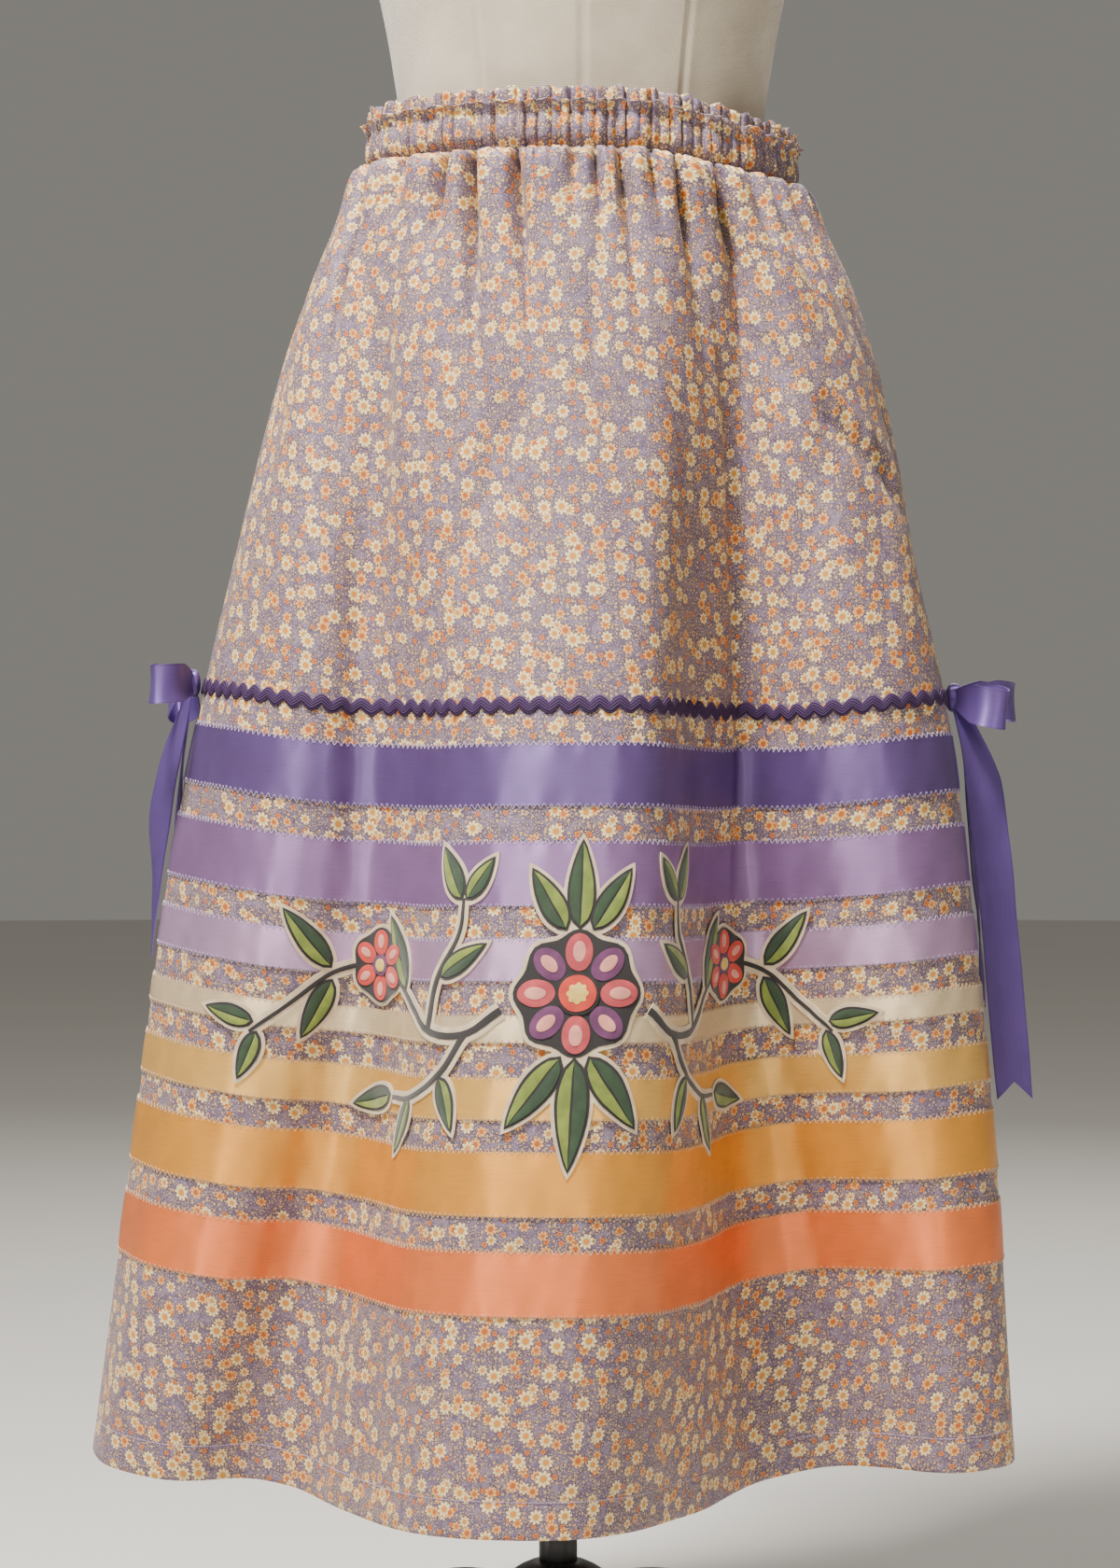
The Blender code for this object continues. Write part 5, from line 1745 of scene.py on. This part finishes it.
@dataclass
class DressForm:
    """The limbless form: a smooth body in a knitted cover with sewn seams."""

    sections: tuple[FormSection, ...] = (
        FormSection(694, 10, 127, 56, 84), FormSection(704, 11, 134, 61, 91),
        FormSection(760, 12, 141, 67, 99), FormSection(820, 13, 139, 68, 99),
        FormSection(880, 14, 129, 70, 91), FormSection(935, 15, 116, 73, 79),
        FormSection(985, 15, 112, 75, 74), FormSection(1045, 15, 119, 84, 80),
        FormSection(1120, 15, 134, 101, 87), FormSection(1185, 15, 146, 110, 93),
        FormSection(1250, 15, 151, 99, 94), FormSection(1300, 15, 147, 84, 88),
        FormSection(1335, 15, 133, 72, 79), FormSection(1362, 15, 112, 63, 69),
        FormSection(1385, 15, 87, 56, 61), FormSection(1404, 15, 66, 51, 55),
        FormSection(1428, 15, 56, 49, 52), FormSection(1466, 15, 53, 48, 50),
    )
    seams: tuple[float, ...] = (0.0, 52.0, 90.0, 128.0, 180.0, 238.0, 270.0, 302.0)
    groove: float = 0.9
    groove_reach: float = 1.7
    rows: int = 110
    points: int = 144
    cap_radii: tuple[float, float] = (50.0, 46.0)
    cap_height: float = 10.0

    def build(self, cover: bpy.types.Material, black: bpy.types.Material) -> None:
        """Makes the covered body and the cap on its neck.

        A ring is an oval with its own reach forward and back; each seam is a groove,
        depth times exp(-(length from the seam)^2), between two raised edges.
        """
        heights = [s.height for s in self.sections]
        z = np.linspace(heights[0], heights[-1], self.rows)
        seams = np.radians(self.seams)[:, None] + np.array((-0.036, -0.02, 0.0, 0.02, 0.036))
        turn = np.arange(self.points) * math.tau / self.points
        turn = np.unique(np.round(np.concatenate([turn, seams.ravel() % math.tau]), 5))
        read = {key: through(heights, [getattr(s, key) for s in self.sections], z)[:, None]
                for key in ("shift", "half_width", "front", "back")}
        forward = 0.5 - 0.5 * np.sin(turn)
        forward = np.clip(forward * 6 - 2.5, 0, 1)
        depth = read["back"] + (read["front"] - read["back"]) * forward
        x, y = read["half_width"] * np.cos(turn), depth * np.sin(turn)
        reach = np.hypot(x, y)
        sunk = np.zeros_like(reach)
        for seam in self.seams:
            away = (turn - math.radians(seam) + math.pi) % math.tau - math.pi
            away = away * reach
            sunk -= self.groove * np.exp(-((away / self.groove_reach) ** 2))
            sunk += 0.35 * np.exp(-(((np.abs(away) - 3.2) / 1.6) ** 2))
        ends = np.minimum(z - heights[0], 8.0)[:, None] / 8.0
        scale = (1 + sunk / reach) * (0.965 + 0.035 * np.sqrt(1 - (1 - ends) ** 2))
        rings = np.stack([read["shift"] + x * scale, y * scale,
                          np.broadcast_to(z[:, None], x.shape)], axis=-1)
        shape = Shape()
        uv = np.dstack(np.broadcast_arrays(turn * 120.0, z[:, None])) * MM
        shape.loft(rings, uv)
        settle(shape.piece("dress_form_cover", cover, 60), "form_cover", "dress_form")
        low = heights[-1] + 0.4
        across, deep = self.cap_radii
        top = low + self.cap_height
        profile = [(across - 2, low), (across, low + 1.5), (across, top - 3.5),
                   (across - 1, top - 1.4), (across - 3, top - 0.3), (across - 7, top),
                   (across * 0.4, top), (4, top)]
        cap = turned(profile, (self.sections[-1].shift, 0.0), 64, deep / across)
        settle(cap.piece("form_neck_cap", black, 40), "black_steel", "neck_cap")


@dataclass
class Stand:
    """The pole, its domed hub with a foot pedal, and four arched legs on round feet."""

    pole_radius: float = 12.0
    pole_top: float = 693.6
    hub_profile: tuple[tuple[float, float], ...] = (
        (12.4, 62.0), (34.0, 62.0), (36.0, 64.0), (36.0, 84.0), (35.4, 88.5), (33.0, 96.0),
        (29.0, 100.8), (24.0, 104.0), (18.0, 106.8), (13.0, 108.0), (12.4, 108.0))
    leg_arc: tuple[tuple[float, float], ...] = (
        (35.6, 73.0), (70.0, 74.0), (112.0, 66.0), (152.0, 48.0), (186.0, 25.0), (205.0, 5.2))
    leg_radius: float = 9.0
    leg_turns: tuple[float, ...] = (45.0, 135.0, 225.0, 315.0)
    leg_reach: float = 205.0
    foot_radius: float = 20.0
    foot_height: float = 8.0
    pedal_size: tuple[float, float, float] = (22.0, 10.0, 6.0)
    pedal_place: tuple[float, float, float] = (-44.8, 0.0, 98.0)

    def pedal(self) -> Shape:
        """The pedal: a rounded bar, a superellipse |y|^6 + |z|^6 = 1 carried along it."""
        turn = np.arange(32) * math.tau / 32
        corner = (np.abs(np.cos(turn)) ** 6 + np.abs(np.sin(turn)) ** 6) ** (-1 / 6)
        length, wide, high = self.pedal_size
        share = np.array([-0.5, -0.46, -0.4, 0.4, 0.46, 0.5])
        shrink = np.array([0.86, 0.96, 1.0, 1.0, 0.96, 0.90])
        rings = np.stack([
            np.broadcast_to(share[:, None] * length, (6, 32)),
            shrink[:, None] * wide / 2 * corner * np.cos(turn),
            shrink[:, None] * high / 2 * corner * np.sin(turn)], axis=-1)
        shape = Shape()
        shape.loft(rings + self.pedal_place, rings[..., :2] * MM)
        return shape

    def build(self, black: bpy.types.Material) -> None:
        """Makes the pole, hub, pedal, legs and feet."""
        r, low = self.pole_radius, self.hub_profile[0][1]
        pole = turned([(r - 0.8, low), (r, low + 0.8), (r, self.pole_top - 0.8),
                       (r - 0.8, self.pole_top)], (0.0, 0.0), 48)
        settle(pole.piece("pole", black), "black_steel", "stand_pole")
        hub = turned(self.hub_profile, (0.0, 0.0), 64)
        settle(hub.piece("hub", black, 35), "black_steel", "stand_hub")
        settle(self.pedal().piece("pedal", black), "black_steel", "stand_pedal")
        reach, height = (np.array(column) for column in zip(*self.leg_arc))
        at = np.linspace(reach[0], reach[-1], 40)
        rise = through(reach, height, at) + self.leg_radius
        f, r = self.foot_height, self.foot_radius
        for number, turn in enumerate(self.leg_turns, 1):
            turn = math.radians(turn)
            path = np.stack([at * math.cos(turn), at * math.sin(turn), rise], axis=1)
            leg = tube(path, self.leg_radius, 28)
            settle(leg.piece(f"leg_{number}", black), "black_steel", f"stand_leg_{number}")
            centre = (self.leg_reach * math.cos(turn), self.leg_reach * math.sin(turn))
            foot = turned([(r - 1.5, 0.0), (r, 1.2), (r, f - 2.4), (r - 1.2, f - 0.8),
                           (r - 3.6, f), (2.0, f)], centre, 48)
            settle(foot.piece(f"foot_{number}", black, 40), "black_steel", f"stand_foot_{number}")


# ------------------------------------------------------------------ studio


@dataclass
class Softbox:
    """A soft area light."""

    name: str
    place: tuple[float, float, float]
    aim: tuple[float, float, float]
    size: tuple[float, float]
    watts: float
    colour: tuple[float, float, float]

    def build(self) -> None:
        """Hangs the light and turns it to its aim."""
        data = bpy.data.lights.new(self.name, "AREA")
        data.shape = "RECTANGLE"
        data.size, data.size_y = self.size
        data.energy = self.watts
        data.color = self.colour
        lamp = bpy.data.objects.new(self.name, data)
        lamp.location = self.place
        lamp.rotation_euler = (Vector(self.aim) - Vector(self.place)).to_track_quat(
            "-Z", "Y").to_euler()
        bpy.context.scene.collection.objects.link(lamp)


@dataclass
class Studio:
    """A pale floor, soft lights and a level camera."""

    floor_radius: float = 14.0
    camera_place: tuple[float, float, float] = (0.0012, -2.32, 0.5938)
    lens: float = 85.0
    sensor: float = 36.0
    sky: Colour = (214, 210, 202)
    sky_strength: float = 0.33
    lights: tuple[Softbox, ...] = (
        Softbox("key", (-0.55, -0.85, 2.7), (0.0, 0.0, 0.75), (0.35, 0.35), 190.0,
                (1.0, 0.965, 0.92)),
        Softbox("left_strip", (-1.7, -2.3, 1.3), (0.0, 0.0, 0.55), (0.26, 1.6), 20.0,
                (1.0, 0.97, 0.93)),
        Softbox("right_strip", (0.55, -2.9, 1.5), (0.0, 0.0, 0.55), (0.26, 1.6), 17.0,
                (1.0, 0.97, 0.94)),
        Softbox("rear", (0.6, 2.8, 2.4), (0.0, 0.0, 0.7), (2.0, 1.4), 40.0, (1.0, 0.98, 0.95)),
    )

    def build(self, finish: bpy.types.Material) -> None:
        """Makes the floor, the pale surround, the lights and the camera."""
        turn = np.arange(96) * math.tau / 96
        rim = np.stack([self.floor_radius * np.cos(turn), self.floor_radius * np.sin(turn),
                        0 * turn - 0.0003], axis=1)
        mesh = bpy.data.meshes.new("floor")
        mesh.from_pydata(rim.tolist(), [], [list(range(96))])
        mesh.materials.append(finish)
        floor = bpy.data.objects.new("floor", mesh)
        bpy.context.scene.collection.objects.link(floor)
        world = bpy.data.worlds.new("surround")
        world.use_nodes = True
        background = world.node_tree.nodes["Background"]
        background.inputs["Color"].default_value = linear(self.sky)
        background.inputs["Strength"].default_value = self.sky_strength
        bpy.context.scene.world = world
        for light in self.lights:
            light.build()
        data = bpy.data.cameras.new("camera")
        data.lens, data.sensor_width = self.lens, self.sensor
        camera = bpy.data.objects.new("camera", data)
        camera.location = self.camera_place
        camera.rotation_euler = (math.pi / 2, 0.0, 0.0)
        bpy.context.scene.collection.objects.link(camera)
        bpy.context.scene.camera = camera


def applique_finishes() -> dict[str, bpy.types.Material]:
    """The dyed cottons of the applique."""
    cloths = (
        PlainCotton("applique_backing", (208, 190, 160), (188, 168, 138)),
        PlainCotton("applique_bark", (26, 17, 17), (18, 12, 12)),
        PlainCotton("applique_green", (34, 62, 30), (26, 48, 24)),
        PlainCotton("applique_lime", (124, 138, 48), (100, 116, 38)),
        PlainCotton("applique_plum", (104, 46, 92), (84, 34, 76)),
        PlainCotton("applique_rose", (190, 66, 72), (164, 52, 60)),
        PlainCotton("applique_blush", (222, 150, 132), (200, 130, 116)),
        PlainCotton("applique_coral", (206, 56, 36), (182, 44, 30)),
        PlainCotton("applique_straw", (224, 194, 104), (206, 170, 78)),
    )
    return {cloth.name.removeprefix("applique_"): cloth.material() for cloth in cloths}


def main() -> None:
    """Builds the studio, form and stand, skirt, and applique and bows."""
    logging.basicConfig(level=logging.INFO, format="%(name)s: %(message)s")
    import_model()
    Studio().build(StudioFloor().material())
    cotton, braid = PrintedCotton().material(), Braid().material()
    satins = {r.name: Satin(f"{r.name}_satin", r.colour, r.width).material() for r in RIBBONS}
    threads = {"lilac": Thread("lilac_thread", (178, 158, 188)).material(),
               "cream": Thread("cream_thread", (204, 170, 138)).material()}
    black = PaintedSteel().material()
    DressForm().build(FormCover().material(), black)
    Stand().build(black)
    surface = SkirtSurface()
    for half in Half:
        Panel(half, surface).build(cotton)
        Casing(half, surface).build(cotton)
        RickRack(half, surface).build(braid)
        for ribbon in RIBBONS:
            RibbonBand(half, surface, ribbon).build(satins[ribbon.name])
        Stitching(half, surface).build(threads)
    Garland(surface).build(applique_finishes())
    violet = Satin("bow_satin", (96, 74, 136), 24.0).material()
    for bow in side_bows(surface):
        bow.build(violet)


if __name__ == "__main__":
    main()
